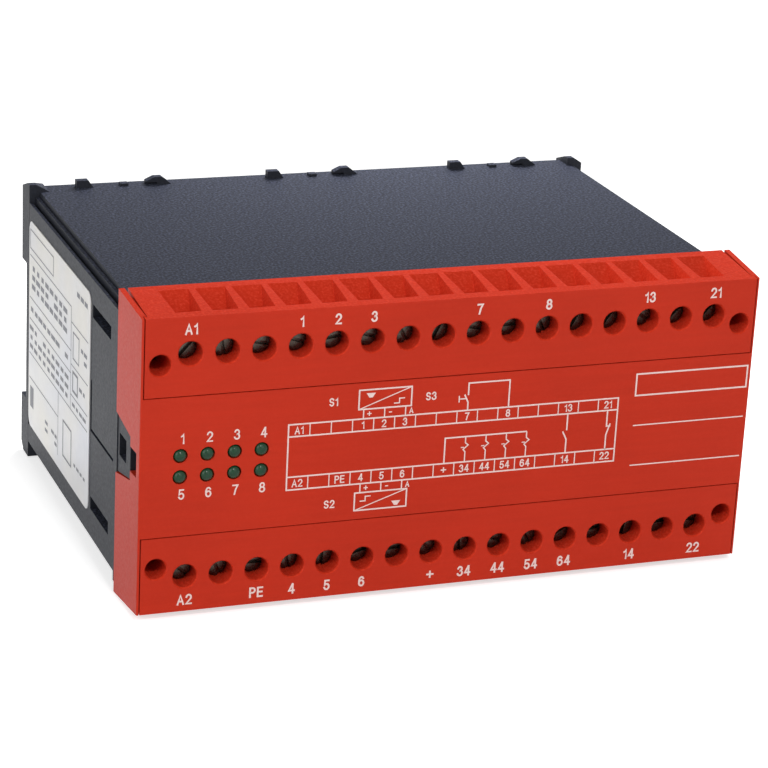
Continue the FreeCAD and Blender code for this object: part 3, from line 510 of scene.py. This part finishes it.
def slotted_screw(name, head, high, shank, length, slot, sink):
    """A cheese-head screw with a slot, its face at Y zero and its shank to the rear."""
    radius, edge, pitch = head / 2, 0.35, 0.5
    outline = [(0, 0), (radius * 0.6, 0), (radius - edge, 0.02)]
    outline += [(radius - edge * (1 - math.sin(turn)), edge * (1 - math.cos(turn))) for turn in (0.5, 1.0, 1.5)]
    outline += [(radius, edge + 0.1), (radius, high - 0.1), (radius - 0.1, high), (shank / 2, high)]
    y = high + 0.15
    while y < length - 0.4:
        outline.append((shank / 2, y))
        y += pitch / 4
    outline += [(shank / 2 - 0.35, length - 0.05), (shank / 2 - 0.5, length), (0, length)]
    made = turned(name, outline, 32, (high + 0.1, length - 0.4, pitch, 0.2))
    cutter = bmesh.new()
    bmesh.ops.create_cube(cutter, size=1)
    bmesh.ops.scale(cutter, vec=(head * 2 * MM, 2 * sink * MM, slot * MM), verts=cutter.verts)
    tool = solid_object("slot_tool", settled(cutter, "slot_tool"))
    cut = made.modifiers.new("slot", "BOOLEAN")
    cut.operation, cut.solver, cut.object = "DIFFERENCE", "EXACT", tool
    soften(applied(made), 35)
    bpy.data.objects.remove(tool)
    return made


def soften(mesh, angle):
    """Smooth shading, with edges sharper than an angle in degrees left crisp."""
    mesh.polygons.foreach_set("use_smooth", [True] * len(mesh.polygons))
    mesh.set_sharp_from_angle(angle=math.radians(angle))


def lamp_lens(name, width, flange, dome, front, step, back):
    """A lens with a domed front and a foot, its rim's front plane at Y zero."""
    radius = width / 2
    bend = 0.12
    outline = [(0, -dome)]
    outline += [(radius * share, -dome * math.sqrt(1 - share ** 2)) for share in (0.25, 0.5, 0.7, 0.85, 0.95)]
    outline += [(radius, bend), (radius, step - front), (flange / 2, step - front)]
    outline += [(flange / 2, back - front), (0, back - front)]
    made = turned(name, outline, 28)
    soften(made.data, 40)
    return made


# ---------------- flat print


class Sheet:
    """Collects flat shapes in millimetres, right and up, and lays them on a surface as one mesh."""

    def __init__(self):
        self.shape = bmesh.new()
        self.film = 0

    def area(self, points):
        """A filled outline, given either way round, each a hair above the last so that none coincide."""
        self.film = (self.film + 1) % 60
        turn = sum(a[0] * b[1] - b[0] * a[1] for a, b in zip(points, points[1:] + points[:1]))
        points = points if turn > 0 else points[::-1]
        self.shape.faces.new([self.shape.verts.new((*point, self.film * 0.0005)) for point in points])

    def line(self, points, width, closed=False):
        """A ribbon along straight runs, with mitred corners."""
        path = [Vector(point) for point in points]
        count = len(path)
        sides = []
        for place in range(count):
            runs = []
            if place > 0 or closed:
                runs.append((path[place] - path[place - 1]).normalized())
            if place < count - 1 or closed:
                runs.append((path[(place + 1) % count] - path[place]).normalized())
            along = sum(runs, Vector((0, 0))).normalized()
            across = Vector((-along.y, along.x))
            reach = width / 2 / max(0.6, abs(across.dot(Vector((-runs[0].y, runs[0].x)))))
            sides.append((path[place] + across * reach, path[place] - across * reach))
        for place in range(count if closed else count - 1):
            after = (place + 1) % count
            self.area([sides[place][0], sides[place][1], sides[after][1], sides[after][0]])

    def frame(self, left, low, right, high, width):
        self.line([(left, low), (right, low), (right, high), (left, high)], width, closed=True)

    def words(self, text, x, z, high, bold=0.17):
        """Centred lettering: drawn with a pen whose width is a share of the height."""
        pen, gap = bold * high, 0.1 * high
        reach = high - pen
        widths = [max(point[0] for stroke in GLYPHS[sign] for point in stroke) * reach for sign in text]
        left = x - (sum(widths) + (len(text) - 1) * (pen + gap)) / 2
        for sign, width in zip(text, widths):
            for stroke in GLYPHS[sign]:
                closed = len(stroke) > 3 and stroke[0] == stroke[-1]
                points = [Vector((left + u * reach, z + (v - 0.5) * reach)) for u, v in stroke]
                if closed:
                    points.pop()
                else:
                    points[0] += (points[0] - points[1]).normalized() * pen / 2
                    points[-1] += (points[-1] - points[-2]).normalized() * pen / 2
                self.line(points, pen, closed)
            left += width + pen + gap

    def lay(self, name, surface, material):
        """Lays the sheet on a surface, given as a matrix from sheet millimetres to the frame."""
        bmesh.ops.triangulate(self.shape, faces=self.shape.faces)
        mesh = settled(self.shape, name, material)
        mesh.transform(surface)
        return solid_object(name, mesh)


def front_surface(sizes):
    """The relay's front plane: right is X and up is Z, facing the user."""
    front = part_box("hood")[0].y - sizes.ink
    return Matrix.Translation((0, front, 0)) @ Matrix.Rotation(math.pi / 2, 4, "X") @ Matrix.Scale(MM, 4)


def label_surface(sizes):
    """The left side's label: right is towards the front and up is Z, from its lower rear corner."""
    low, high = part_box("rating_label")
    turn = Matrix(((0, 0, -1, 0), (-1, 0, 0, 0), (0, 1, 0, 0), (0, 0, 0, 1)))
    return Matrix.Translation((low.x - sizes.ink, high.y, low.z)) @ turn @ Matrix.Scale(MM, 4)


def terminal_x(number):
    """Middle of a terminal across the front, in millimetres."""
    return (number - (TERMINALS - 1) / 2) * PITCH


def bow(x, z, wide, high, start, end):
    """Points along part of an oval, between two angles in degrees."""
    turns = [math.radians(start + (end - start) * step / 10) for step in range(11)]
    return [(round(x + wide * math.cos(turn), 4), round(z + high * math.sin(turn), 4)) for turn in turns]


# Pen strokes of the figures and letters, one unit high, from the lower left.
GLYPHS = {
    "1": [[(0.02, 0.76), (0.16, 0.82), (0.24, 1), (0.24, 0)]],
    "2": [[*bow(0.26, 0.72, 0.25, 0.28, 170, -35), (0, 0), (0.52, 0)]],
    "3": [[*bow(0.25, 0.75, 0.22, 0.25, 165, -80), *bow(0.25, 0.27, 0.26, 0.27, 80, -165)]],
    "4": [[(0.54, 0.27), (0, 0.27), (0.36, 1)], [(0.4, 1), (0.4, 0)]],
    "5": [[(0.48, 1), (0.09, 1), (0.04, 0.5), *bow(0.26, 0.31, 0.26, 0.31, 135, -160)]],
    "6": [[*bow(0.27, 0.55, 0.26, 0.45, 40, 180), (0.01, 0.32)], bow(0.27, 0.31, 0.26, 0.31, 0, 360)],
    "7": [[(0, 1), (0.52, 1), (0.3, 0.55), (0.18, 0)]],
    "8": [bow(0.27, 0.76, 0.22, 0.24, 0, 360), bow(0.27, 0.27, 0.27, 0.27, 0, 360)],
    "A": [[(0, 0), (0.3, 1), (0.6, 0)], [(0.11, 0.32), (0.49, 0.32)]],
    "E": [[(0.48, 1), (0, 1), (0, 0), (0.48, 0)], [(0, 0.52), (0.43, 0.52)]],
    "P": [[(0, 0), (0, 1), *bow(0.26, 0.74, 0.26, 0.26, 90, -90), (0, 0.48)]],
    "S": [[*bow(0.26, 0.75, 0.24, 0.25, 20, 250), *bow(0.27, 0.25, 0.25, 0.25, 70, -160)]],
    "+": [[(0, 0.5), (0.64, 0.5)], [(0.32, 0.18), (0.32, 0.82)]],
    "-": [[(0, 0.5), (0.4, 0.5)]],
}
UPPER_MARKS = {0: "A1", 3: "1", 4: "2", 5: "3", 8: "7", 10: "8", 13: "13", 15: "21"}
LOWER_MARKS = {
    0: "A2", 2: "PE", 3: "4", 4: "5", 5: "6", 7: "+", 8: "34", 9: "44", 10: "54", 11: "64", 13: "14", 15: "22",
}

# Places on the front in millimetres: heights of rows, and left, low, right and high of fields.
UPPER_MARK_ROW, LOWER_MARK_ROW = 68.6, 4.4
LAMP_COLUMNS, LAMP_LEFT, LAMP_STEP = 4, -64.7, 6.26
LAMP_NUMBER_ROWS = (43.2, 30.0)
MARKING_FIELD = (44.7, 44.6, 73.4, 49.9)
FIELD_RULES = (37.0, 27.0)
DIAGRAM = (-40.2, 28.7, 40.4, 44.4)
UPPER_CELL, LOWER_CELL = 2.9, 3.1

# The label's print in millimetres: rules as left, right and height; upright rules as place, low and
# high; fields as left, low, right, high and line width; bars as columns, rows, their steps, bar
# height, middle across and up, and the share that is left out.
LABEL_RULES = (
    (1, 43, 45.2), (1, 43, 34.2), (1, 43, 28.6), (1, 59, 19.5), (1, 31, 13.0),
    (43, 59, 41.5), (43, 59, 31.0), (43, 59, 23.4),
)
LABEL_UPRIGHTS = ((43, 19.5, 45.2), (31, 3, 19.5))
LABEL_FIELDS = (
    (1.2, 47.0, 25.0, 51.8, 0.3), (45, 33.0, 50.5, 39.5, 0.4), (45, 24.9, 49.5, 29.6, 0.7), (36, 5, 44, 14, 0.5),
)
LABEL_BARS = (
    (8, 3, 4.6, 2.4, 1.3, 21, 40.0, 0.1),
    (9, 1, 4.4, 2.4, 1.2, 21, 31.4, 0.15),
    (9, 3, 4.5, 2.4, 1.1, 21, 24.0, 0.15),
    (3, 1, 3.6, 2.4, 1.2, 53, 50.0, 0.0),
    (2, 2, 3.2, 2.2, 1.0, 55, 36.4, 0.1),
    (2, 1, 3.2, 2.2, 1.0, 54, 27.4, 0.0),
    (4, 1, 3.4, 2.2, 0.9, 51, 21.4, 0.0),
    (4, 2, 3.2, 2.0, 0.9, 24, 6.0, 0.4),
    (4, 1, 3.0, 2.0, 0.8, 52, 6.6, 0.2),
)


# ---------------- what a user can change


def colour(name, description, code):
    return FloatVectorProperty(
        name=name, description=description, subtype="COLOR", size=3, min=0, max=1, default=linear(code)[:3]
    )


def length(name, description, value):
    return FloatProperty(
        name=name, description=description, default=value * MM, min=0, unit="LENGTH", precision=5
    )


def angle(name, description, degrees):
    return FloatProperty(name=name, description=description, default=math.radians(degrees), subtype="ANGLE")


def power(name, description, watts):
    return FloatProperty(name=name, description=description, default=watts, min=0, unit="POWER")


class RelayColours(bpy.types.PropertyGroup):
    """Colours of the relay's visible finishes."""

    red: colour("Red plastic", "Hood and terminal blocks", "C4311B")
    grey: colour("Grey plastic", "Housing and side plates", "26282E")
    black: colour("Black plastic", "Rail latches and headers", "1B1C1E")
    ink: colour("Front print", "Marks and wiring diagram on the front", "F3D8D2")
    lens: colour("Lamp lens", "Status lamps when they are off", "0D3B22")
    label: colour("Label", "Film of the side label", "D6D8E0")
    label_ink: colour("Label print", "Rules and bars on the side label", "83848A")


class RelaySizes(bpy.types.PropertyGroup):
    """Sizes of what is drawn or detailed here."""

    ink: length("Ink stand", "How far print stands off its surface", 0.03)
    line: length("Line", "Width of the wiring diagram's lines", 0.36)
    mark: length("Terminal marks", "Height of the figures beside the terminals", 2.6)
    lamp_mark: length("Lamp numbers", "Height of the numbers beside the lamps", 2.5)
    cell_mark: length("Diagram marks", "Height of the figures in the wiring diagram", 1.9)
    slot: length("Screw slot", "Width of a terminal screw's slot", 0.9)
    slot_sink: length("Slot depth", "Depth of a terminal screw's slot", 0.9)
    dome: length("Lens dome", "How far a lamp's dome rises over its rim", 1.1)
    seed: IntProperty(name="Chance", description="Seed for the screws' turn and the label's bars", default=7, min=0)


class RelayStage(bpy.types.PropertyGroup):
    """Camera, lamps and floor."""

    azimuth: angle("Azimuth", "Camera's heading, clockwise from above", -21.07)
    elevation: angle("Elevation", "Camera's height over the horizon", 19.89)
    roll: angle("Roll", "Camera's turn about its axis", 3)
    lens: FloatProperty(name="Lens", description="Focal length in millimetres", default=131.25, min=10)
    place: FloatVectorProperty(
        name="Camera", description="Where the camera stands", subtype="TRANSLATION", unit="LENGTH",
        default=(-0.2302, -0.6062, 0.2659),
    )
    floor: colour("Floor", "Tone of the studio floor", "E6E6E6")
    key: power("Key lamp", "Power of the soft lamp on the left", 3.3)
    fill: power("Fill lamp", "Power of the soft lamp in front", 1.8)
    spot: power("Small lamp", "Power of the small lamp above the camera", 1.9)
    rear: power("Rear lamp", "Power of the small lamp over the rear", 0.8)
    sky: FloatProperty(name="Sky", description="Strength of the even light all round", default=0.22, min=0)


# ---------------- one operator for each group of pieces


class RELAY_OT_red_mouldings(bpy.types.Operator):
    """Finishes the hood and both terminal blocks in red polyamide"""

    bl_idname = "relay.red_mouldings"
    bl_label = "Hood and terminal blocks"

    def execute(self, context):
        dress(("hood", "terminal_block_upper", "terminal_block_lower"), red_polyamide(context.scene.relay_colours))
        return {"FINISHED"}


class RELAY_OT_grey_mouldings(bpy.types.Operator):
    """Finishes the housing and side plates in charcoal polyamide"""

    bl_idname = "relay.grey_mouldings"
    bl_label = "Housing and side plates"

    def execute(self, context):
        dress(("housing", "side_plate_left", "side_plate_right"), grey_polyamide(context.scene.relay_colours))
        return {"FINISHED"}


class RELAY_OT_rail_latches(bpy.types.Operator):
    """Finishes the sliding rail latches, their springs and the headers"""

    bl_idname = "relay.rail_latches"
    bl_label = "Rail latches and headers"

    def execute(self, context):
        black = black_acetal(context.scene.relay_colours)
        dress(("rail_latch_left", "rail_latch_middle", "rail_latch_right", "header_upper", "header_lower"), black)
        leaf = plated_metal("tempered_spring_steel", "8E9298", 0.3, 0.006)
        for place in ("left", "middle", "right"):
            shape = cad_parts[f"latch_spring_{place}"].data.copy()
            shape.materials.clear()
            shape.materials.append(leaf)
            spring = keep(solid_object(f"folded_spring_{place}", shape), "spring_steel", f"latch_spring_{place}")
            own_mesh(spring)
        return {"FINISHED"}


class RELAY_OT_clamps(bpy.types.Operator):
    """Finishes the wire clamps and contact pins"""

    bl_idname = "relay.clamps"
    bl_label = "Wire clamps and pins"

    def execute(self, context):
        dress(("clamp_cages_upper", "clamp_cages_lower"), plated_metal("nickel_plated_brass", "C9BDA0", 0.3, 0.008))
        dress(("contact_pins_upper", "contact_pins_lower"), plated_metal("tinned_brass", "C8C6BE", 0.38, 0.008))
        return {"FINISHED"}


class RELAY_OT_screws(bpy.types.Operator):
    """Turns slotted screws for the 32 terminals and the four fixing holes"""

    bl_idname = "relay.screws"
    bl_label = "Screws"

    def execute(self, context):
        sizes = context.scene.relay_sizes
        tree = spaced_rows_tree()
        # Painted reflection: the zinc-plated screws get a dark colour that stands for the dark surroundings they
        # mirror deep in their holes.
        zinc = plated_metal("zinc_steel_painted_dark_reflection", "4E4943", 0.24, 0.01)
        low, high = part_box("terminal_screws_upper")
        head, long = high.z - low.z, high.y - low.y
        slot = (sizes.slot / MM, sizes.slot_sink / MM)
        tool = slotted_screw("clamp_screw", head / MM, CLAMP_HEAD_HIGH, SCREW_SHANK, long / MM, *slot)
        for side, name in enumerate(("upper", "lower")):
            low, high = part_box(f"terminal_screws_{name}")
            step = (high.x - low.x - head) / (TERMINALS - 1)
            grid = ((TERMINALS, 1), (step, 0.0), (0.0, low.y, (low.z + high.z) / 2))
            made = spaced(f"clamp_screws_{name}", tree, tool, *grid, zinc, sizes.seed + side, math.pi)
            keep(made, "zinc_steel", f"terminal_screws_{name}")
        bpy.data.objects.remove(tool)
        low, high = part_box("block_fixing_screws")
        shank = (SCREW_SHANK, (high.y - low.y) / MM)
        tool = slotted_screw("fixing_screw", FIXING_HEAD, FIXING_HEAD_HIGH, *shank, FIXING_SLOT, FIXING_SLOT_SINK)
        steps = (high.x - low.x - FIXING_HEAD * MM, high.z - low.z - FIXING_HEAD * MM)
        centre = (0.0, low.y, (low.z + high.z) / 2)
        made = spaced("fixing_screws", tree, tool, (2, 2), steps, centre, zinc, sizes.seed + 2, math.pi)
        keep(made, "zinc_steel", "block_fixing_screws")
        bpy.data.objects.remove(tool)
        return {"FINISHED"}


class RELAY_OT_lamps(bpy.types.Operator):
    """Makes the eight domed lamp lenses"""

    bl_idname = "relay.lamps"
    bl_label = "Status lamps"

    def execute(self, context):
        sizes = context.scene.relay_sizes
        first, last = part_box("status_lamp_1"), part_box("status_lamp_8")
        low, high = (last[0] + first[0]) / 2, (last[1] + first[1]) / 2
        steps = (
            (last[1].x - first[0].x - LENS_FLANGE * MM) / (LAMP_COLUMNS - 1),
            first[1].z - last[0].z - LENS_FLANGE * MM,
        )
        centre = ((low.x + high.x) / 2, first[0].y + LENS_INSET * MM, (low.z + high.z) / 2)
        tool = lamp_lens("lens", LENS, LENS_FLANGE, sizes.dome / MM, LENS_RIM, LENS_STEP, LENS_BACK)
        lens = tinted_acrylic(context.scene.relay_colours)
        made = spaced("lamp_lenses", spaced_rows_tree(), tool, (LAMP_COLUMNS, 2), steps, centre, lens)
        bpy.data.objects.remove(tool)
        keep(made, "lamp_lens", *[f"status_lamp_{number}" for number in range(1, 9)])
        return {"FINISHED"}


class RELAY_OT_front_marks(bpy.types.Operator):
    """Prints the terminal marks, the lamp numbers and the marking field"""

    bl_idname = "relay.front_marks"
    bl_label = "Marks on the front"

    def execute(self, context):
        sizes = context.scene.relay_sizes
        ink = printing_ink("white_pad_printing_ink", opaque(context.scene.relay_colours.ink))
        surface = front_surface(sizes)
        high = sizes.mark / MM
        for name, level, marks in (("upper", UPPER_MARK_ROW, UPPER_MARKS), ("lower", LOWER_MARK_ROW, LOWER_MARKS)):
            sheet = Sheet()
            for number, text in marks.items():
                sheet.words(text, terminal_x(number), level, high)
            keep(sheet.lay(f"terminal_marks_{name}", surface, ink), "red_plastic")
        sheet = Sheet()
        for number in range(2 * LAMP_COLUMNS):
            row, column = divmod(number, LAMP_COLUMNS)
            x = LAMP_LEFT + LAMP_STEP * column
            sheet.words(str(number + 1), x, LAMP_NUMBER_ROWS[row], sizes.lamp_mark / MM, bold=0.15)
        keep(sheet.lay("lamp_numbers", surface, ink), "red_plastic")
        sheet = Sheet()
        sheet.frame(*MARKING_FIELD, 0.4)
        left, _, right, _ = MARKING_FIELD
        for low in FIELD_RULES:
            sheet.area([(left, low), (right, low), (right, low + 0.3), (left, low + 0.3)])
        keep(sheet.lay("marking_field", surface, ink), "red_plastic")
        return {"FINISHED"}


class RELAY_OT_wiring_diagram(bpy.types.Operator):
    """Draws the wiring diagram in the middle of the front"""

    bl_idname = "relay.wiring_diagram"
    bl_label = "Wiring diagram"

    def execute(self, context):
        sizes = context.scene.relay_sizes
        ink = printing_ink("white_diagram_ink", opaque(context.scene.relay_colours.ink))
        sheet = Sheet()
        line = sizes.line / MM
        left, low, right, high = DIAGRAM
        step = (right - left) / TERMINALS
        upper, lower = high - UPPER_CELL, low + LOWER_CELL
        small = sizes.cell_mark / MM

        def cell(number):
            return left + step * (number + 0.5)

        sheet.frame(left, low, right, high, line)
        for level in (upper, lower):
            sheet.line([(left, level), (right, level)], line)
        for number in range(1, TERMINALS):
            x = left + step * number
            sheet.line([(x, upper), (x, high)], line * 0.7)
            sheet.line([(x, low), (x, lower)], line * 0.7)
        for level, marks in (((upper + high) / 2, UPPER_MARKS), ((low + lower) / 2, LOWER_MARKS)):
            for number, text in marks.items():
                sheet.words(text, cell(number), level, small, bold=0.16)
        self.sensors(sheet, cell, line, high, low)
        self.reset_loop(sheet, cell, line, high)
        self.contacts(sheet, cell, line, upper, lower)
        keep(sheet.lay("wiring_diagram", front_surface(sizes), ink), "red_plastic")
        return {"FINISHED"}

    def sensors(self, sheet, cell, line, high, low):
        """Two sensor boxes, each on three wires."""
        for top, base, start, name in ((51.3, 46.7, high, "S1"), (26.5, 22.2, low, "S2")):
            above = base > start
            sheet.frame(cell(3) - 1.2, base, cell(5) + 1.3, top, line)
            sheet.line([(cell(3) - 1.2, base), (cell(5) + 1.3, top)], line * 0.7)
            near = base if above else top
            for number, sign in zip((3, 4, 5), "+-A"):
                x = cell(number)
                sheet.line([(x, start), (x, near)], line * 0.8)
                sheet.words(sign, x + 1.4, (start + near) / 2, 1.5, bold=0.18)
            wedge_x, step_x = (cell(3) + 1.6, cell(5) - 1.6) if above else (cell(5) - 1.2, cell(3) + 1.4)
            wedge_z, step_z = (top - 1.5, base + 0.9) if above else (base + 0.9, top - 2.1)
            wedge = [(-1.1, 0.7), (1.1, 0.7), (0.4, -0.4), (-0.4, -0.4)]
            sheet.area([(wedge_x + u, wedge_z + v) for u, v in wedge])
            rise = [(step_x - 1.3, step_z), (step_x, step_z), (step_x, step_z + 1.1), (step_x + 1.3, step_z + 1.1)]
            sheet.line(rise, line * 0.8)
            sheet.words(name, cell(2) - 2.2, (top + base) / 2, 2.0)

    def reset_loop(self, sheet, cell, line, high):
        """The loop through the reset button, with its open contact."""
        x, top = cell(8), 51.0
        sheet.line([(x, high), (x, high + 2.0)], line)
        sheet.line([(x, high + 2.0), (x - 0.9, high + 3.9)], line)
        sheet.line([(x, high + 3.7), (x, top), (cell(10), top), (cell(10), high)], line)
        sheet.line([(x - 2.2, high + 2.9), (x - 0.5, high + 2.9)], line * 0.8)
        sheet.line([(x - 2.2, high + 2.1), (x - 2.2, high + 3.7)], line * 0.8)
        sheet.words("S3", cell(6) + 1.0, 48.6, 2.0)

    def contacts(self, sheet, cell, line, upper, lower):
        """The four semiconductor outputs and the two contacts."""
        top = 38.0
        sheet.line([(cell(7), lower), (cell(7), top), (cell(11), top)], line)
        for number in (8, 9, 10, 11):
            x = cell(number)
            kink = [(x, top), (x, top - 1.5), (x + 0.7, top - 2.1), (x - 0.5, top - 3.1), (x, top - 3.7), (x, lower)]
            sheet.line(kink, line * 0.8)
            sheet.line([(x - 1.1, top - 2.6), (x - 0.3, top - 2.6)], line * 0.7)
        x = cell(13)
        sheet.line([(x, upper), (x, 37.4)], line)
        sheet.line([(x - 1.0, 37.2), (x, 35.2), (x, lower)], line)
        x = cell(15)
        sheet.line([(x, upper), (x, 37.6), (x + 1.0, 37.6)], line)
        sheet.line([(x + 0.9, 38.2), (x, 35.4), (x, lower)], line)


class RELAY_OT_label_print(bpy.types.Operator):
    """Prints rules, plain fields and unreadable bars on the side label"""

    bl_idname = "relay.label_print"
    bl_label = "Label and its print"

    def execute(self, context):
        sizes, colours = context.scene.relay_sizes, context.scene.relay_colours
        dress(("rating_label",), label_film(colours))
        ink = printing_ink("grey_label_ink", opaque(colours.label_ink))
        sheet = Sheet()
        for left, right, level in LABEL_RULES:
            sheet.line([(left, level), (right, level)], 0.28)
        for across, low, high in LABEL_UPRIGHTS:
            sheet.line([(across, low), (across, high)], 0.28)
        sheet.frame(*LABEL_FIELDS[0])
        sheet.area([(2, 5.5), (5.4, 5.5), (5.4, 11), (2, 11)])
        for field in LABEL_FIELDS[1:]:
            sheet.frame(*field)
        surface = label_surface(sizes)
        keep(sheet.lay("label_rules", surface, ink), "label_paper")
        tree = print_rows_tree()
        joined = bmesh.new()
        for number, (columns, rows, *spans, gone) in enumerate(LABEL_BARS):
            step, drop, high, x, y = (span * MM for span in spans)
            grid = {"Columns": columns, "Rows": rows, "Column Step": step, "Row Step": drop, "Centre": (x, y, 0.0)}
            chances = {"Left Out": gone, "Seed": sizes.seed + number}
            part = grown("label_bars_part", tree, {**grid, **chances, "Bar Height": high, "Finish": ink})
            joined.from_mesh(part.data)
            bpy.data.objects.remove(part)
        mesh = settled(joined, "label_bars", ink)
        mesh.transform(surface @ Matrix.Scale(1 / MM, 4))
        keep(solid_object("label_bars", mesh), "label_paper")
        return {"FINISHED"}


class RELAY_OT_electronics(bpy.types.Operator):
    """Finishes the boards and what they carry"""

    bl_idname = "relay.electronics"
    bl_label = "Boards and what they carry"

    def execute(self, context):
        colours = context.scene.relay_colours
        dress(("display_board", "upper_board", "lower_board", "link_board"), circuit_board(colours))
        cases = [f"contact_relay_{number}" for number in range(1, 5)]
        dress(cases, plain_moulding("potted_relay_case", "D8D2C0", 0.4, 8))
        dress(("controller_chip_1", "controller_chip_2"), plain_moulding("epoxy_chip_case", "222326", 0.5, 3))
        sleeve = plain_moulding("shrunk_capacitor_sleeve", "26324E", 0.28, 6)
        dress(("smoothing_capacitor_1", "smoothing_capacitor_2"), sleeve)
        dress(("transformer_winding",), wound_tape(colours))
        dress(("transformer_core",), laminated_iron(colours))
        dress(("mains_fuse",), plain_moulding("fuse_ceramic_and_caps", "D9D6CC", 0.25, 4))
        return {"FINISHED"}


class RELAY_OT_stage(bpy.types.Operator):
    """Sets the studio: floor, even light, lamps and the camera"""

    bl_idname = "relay.stage"
    bl_label = "Studio"

    def execute(self, context):
        scene = context.scene
        stage = scene.relay_stage
        scene.view_settings.view_transform = "Standard"
        self.floor(stage)
        self.sky(scene, stage)
        self.lamp("key_lamp", (-0.75, -0.42, 0.42), 0.7, stage.key)
        self.lamp("fill_lamp", (0.25, -1.0, 0.5), 0.8, stage.fill)
        self.lamp("small_lamp", (-0.05, -0.62, 0.6), 0.07, stage.spot)
        self.lamp("rear_lamp", (0.05, 0.16, 0.17), 0.1, stage.rear, mirrored=False)
        self.camera(scene, stage)
        return {"FINISHED"}

    def seen(self, tree):
        """One for what the camera, a mirror or a glass sees, and nought for light on the object."""
        path = add(tree, "ShaderNodeLightPath").outputs
        found = path["Is Camera Ray"]
        for kind in ("Is Glossy Ray", "Is Transmission Ray"):
            found = reckoned(tree, "MAXIMUM", found, path[kind])
        return found

    def floor(self, stage):
        """Matt studio paper: pale, with the object's soft shadow, and clear from below."""
        shape = bmesh.new()
        bmesh.ops.create_circle(
            shape, cap_ends=True, segments=64, radius=6, matrix=Matrix.Translation((0, 0, -FLOOR_GAP * MM))
        )
        mesh = settled(shape, "studio_floor")
        made = bpy.data.materials.new("studio_paper")
        tree = emptied(made)
        place = add(tree, "ShaderNodeTexCoord").outputs["Object"]
        tone = tinted(tree, opaque(stage.floor), grain(tree, place, 60, low=0.99, high=1.01))
        paper = add(tree, "ShaderNodeBsdfDiffuse", {"Color": tone}).outputs[0]
        away = add(tree, "ShaderNodeVectorMath", {0: place}, operation="LENGTH").outputs["Value"]
        lift = reckoned(tree, "MULTIPLY", self.seen(tree), ranged(tree, away, 0.1, 0.5, 0.62, 0.95))
        glow = add(tree, "ShaderNodeEmission", {"Color": (1, 1, 1, 1), "Strength": lift}).outputs[0]
        both = add(tree, "ShaderNodeAddShader", {0: paper, 1: glow}).outputs[0]
        below = add(tree, "ShaderNodeNewGeometry").outputs["Backfacing"]
        clear = add(tree, "ShaderNodeBsdfTransparent").outputs[0]
        sided = add(tree, "ShaderNodeMixShader", {0: below, 1: both, 2: clear}).outputs[0]
        add(tree, "ShaderNodeOutputMaterial", {"Surface": sided})
        mesh.materials.append(made)
        solid_object("studio_floor", mesh)

    def sky(self, scene, stage):
        """Even light on the object, and plain white where it is seen."""
        world = bpy.data.worlds.new("studio_sky")
        tree = emptied(world)
        even, white = (
            add(tree, "ShaderNodeBackground", {"Color": (1, 1, 1, 1), "Strength": strength}).outputs[0]
            for strength in (stage.sky, 1.0)
        )
        both = add(tree, "ShaderNodeMixShader", {0: self.seen(tree), 1: even, 2: white}).outputs[0]
        add(tree, "ShaderNodeOutputWorld", {"Surface": both})
        scene.world = world

    def lamp(self, name, place, size, power, mirrored=True):
        """A square soft lamp that faces the middle of the relay, and can be kept out of reflections."""
        data = bpy.data.lights.new(name, "AREA")
        data.shape, data.size, data.energy = "SQUARE", size, power
        made = bpy.data.objects.new(name, data)
        made.location = place
        made.visible_glossy = mirrored
        aim = Vector((0, 0, 0.036)) - made.location
        made.rotation_euler = aim.to_track_quat("-Z", "Y").to_euler()
        bpy.context.scene.collection.objects.link(made)

    def camera(self, scene, stage):
        """A long lens above and to the left of the front."""
        turn, rise, roll = stage.azimuth, stage.elevation, stage.roll
        ahead = Vector((-math.sin(turn) * math.cos(rise), math.cos(turn) * math.cos(rise), -math.sin(rise)))
        across = Vector((math.cos(turn), math.sin(turn), 0))
        above = across.cross(ahead)
        right = across * math.cos(roll) + above * math.sin(roll)
        up = above * math.cos(roll) - across * math.sin(roll)
        data = bpy.data.cameras.new("camera")
        data.sensor_width, data.lens = 36, stage.lens
        data.clip_start, data.clip_end = 0.01, 50
        made = bpy.data.objects.new("camera", data)
        made.matrix_world = Matrix.Translation(stage.place) @ Matrix((right, up, -ahead)).transposed().to_4x4()
        scene.collection.objects.link(made)
        scene.camera = made


class RELAY_PT_looks(bpy.types.Panel):
    """Lists the relay's pieces, colours and sizes"""

    bl_label = "Safety relay"
    bl_idname = "RELAY_PT_looks"
    bl_space_type = "VIEW_3D"
    bl_region_type = "UI"
    bl_category = "Relay"

    def draw(self, context):
        for made in OPERATORS:
            self.layout.operator(made.bl_idname)
        for group in (context.scene.relay_colours, context.scene.relay_sizes, context.scene.relay_stage):
            column = self.layout.column()
            for name in group.__annotations__:
                column.prop(group, name)


OPERATORS = (
    RELAY_OT_red_mouldings,
    RELAY_OT_grey_mouldings,
    RELAY_OT_rail_latches,
    RELAY_OT_clamps,
    RELAY_OT_screws,
    RELAY_OT_lamps,
    RELAY_OT_front_marks,
    RELAY_OT_wiring_diagram,
    RELAY_OT_label_print,
    RELAY_OT_electronics,
    RELAY_OT_stage,
)
GROUPS = (("relay_colours", RelayColours), ("relay_sizes", RelaySizes), ("relay_stage", RelayStage))


def register():
    for name, made in GROUPS:
        bpy.utils.register_class(made)
        setattr(bpy.types.Scene, name, PointerProperty(type=made))
    for made in (*OPERATORS, RELAY_PT_looks):
        bpy.utils.register_class(made)


def unregister():
    for made in (RELAY_PT_looks, *reversed(OPERATORS)):
        bpy.utils.unregister_class(made)
    for name, made in reversed(GROUPS):
        delattr(bpy.types.Scene, name)
        bpy.utils.unregister_class(made)


def main():
    register()
    for made in OPERATORS:
        group, name = made.bl_idname.split(".")
        getattr(getattr(bpy.ops, group), name)()


if __name__ == "__main__":
    main()
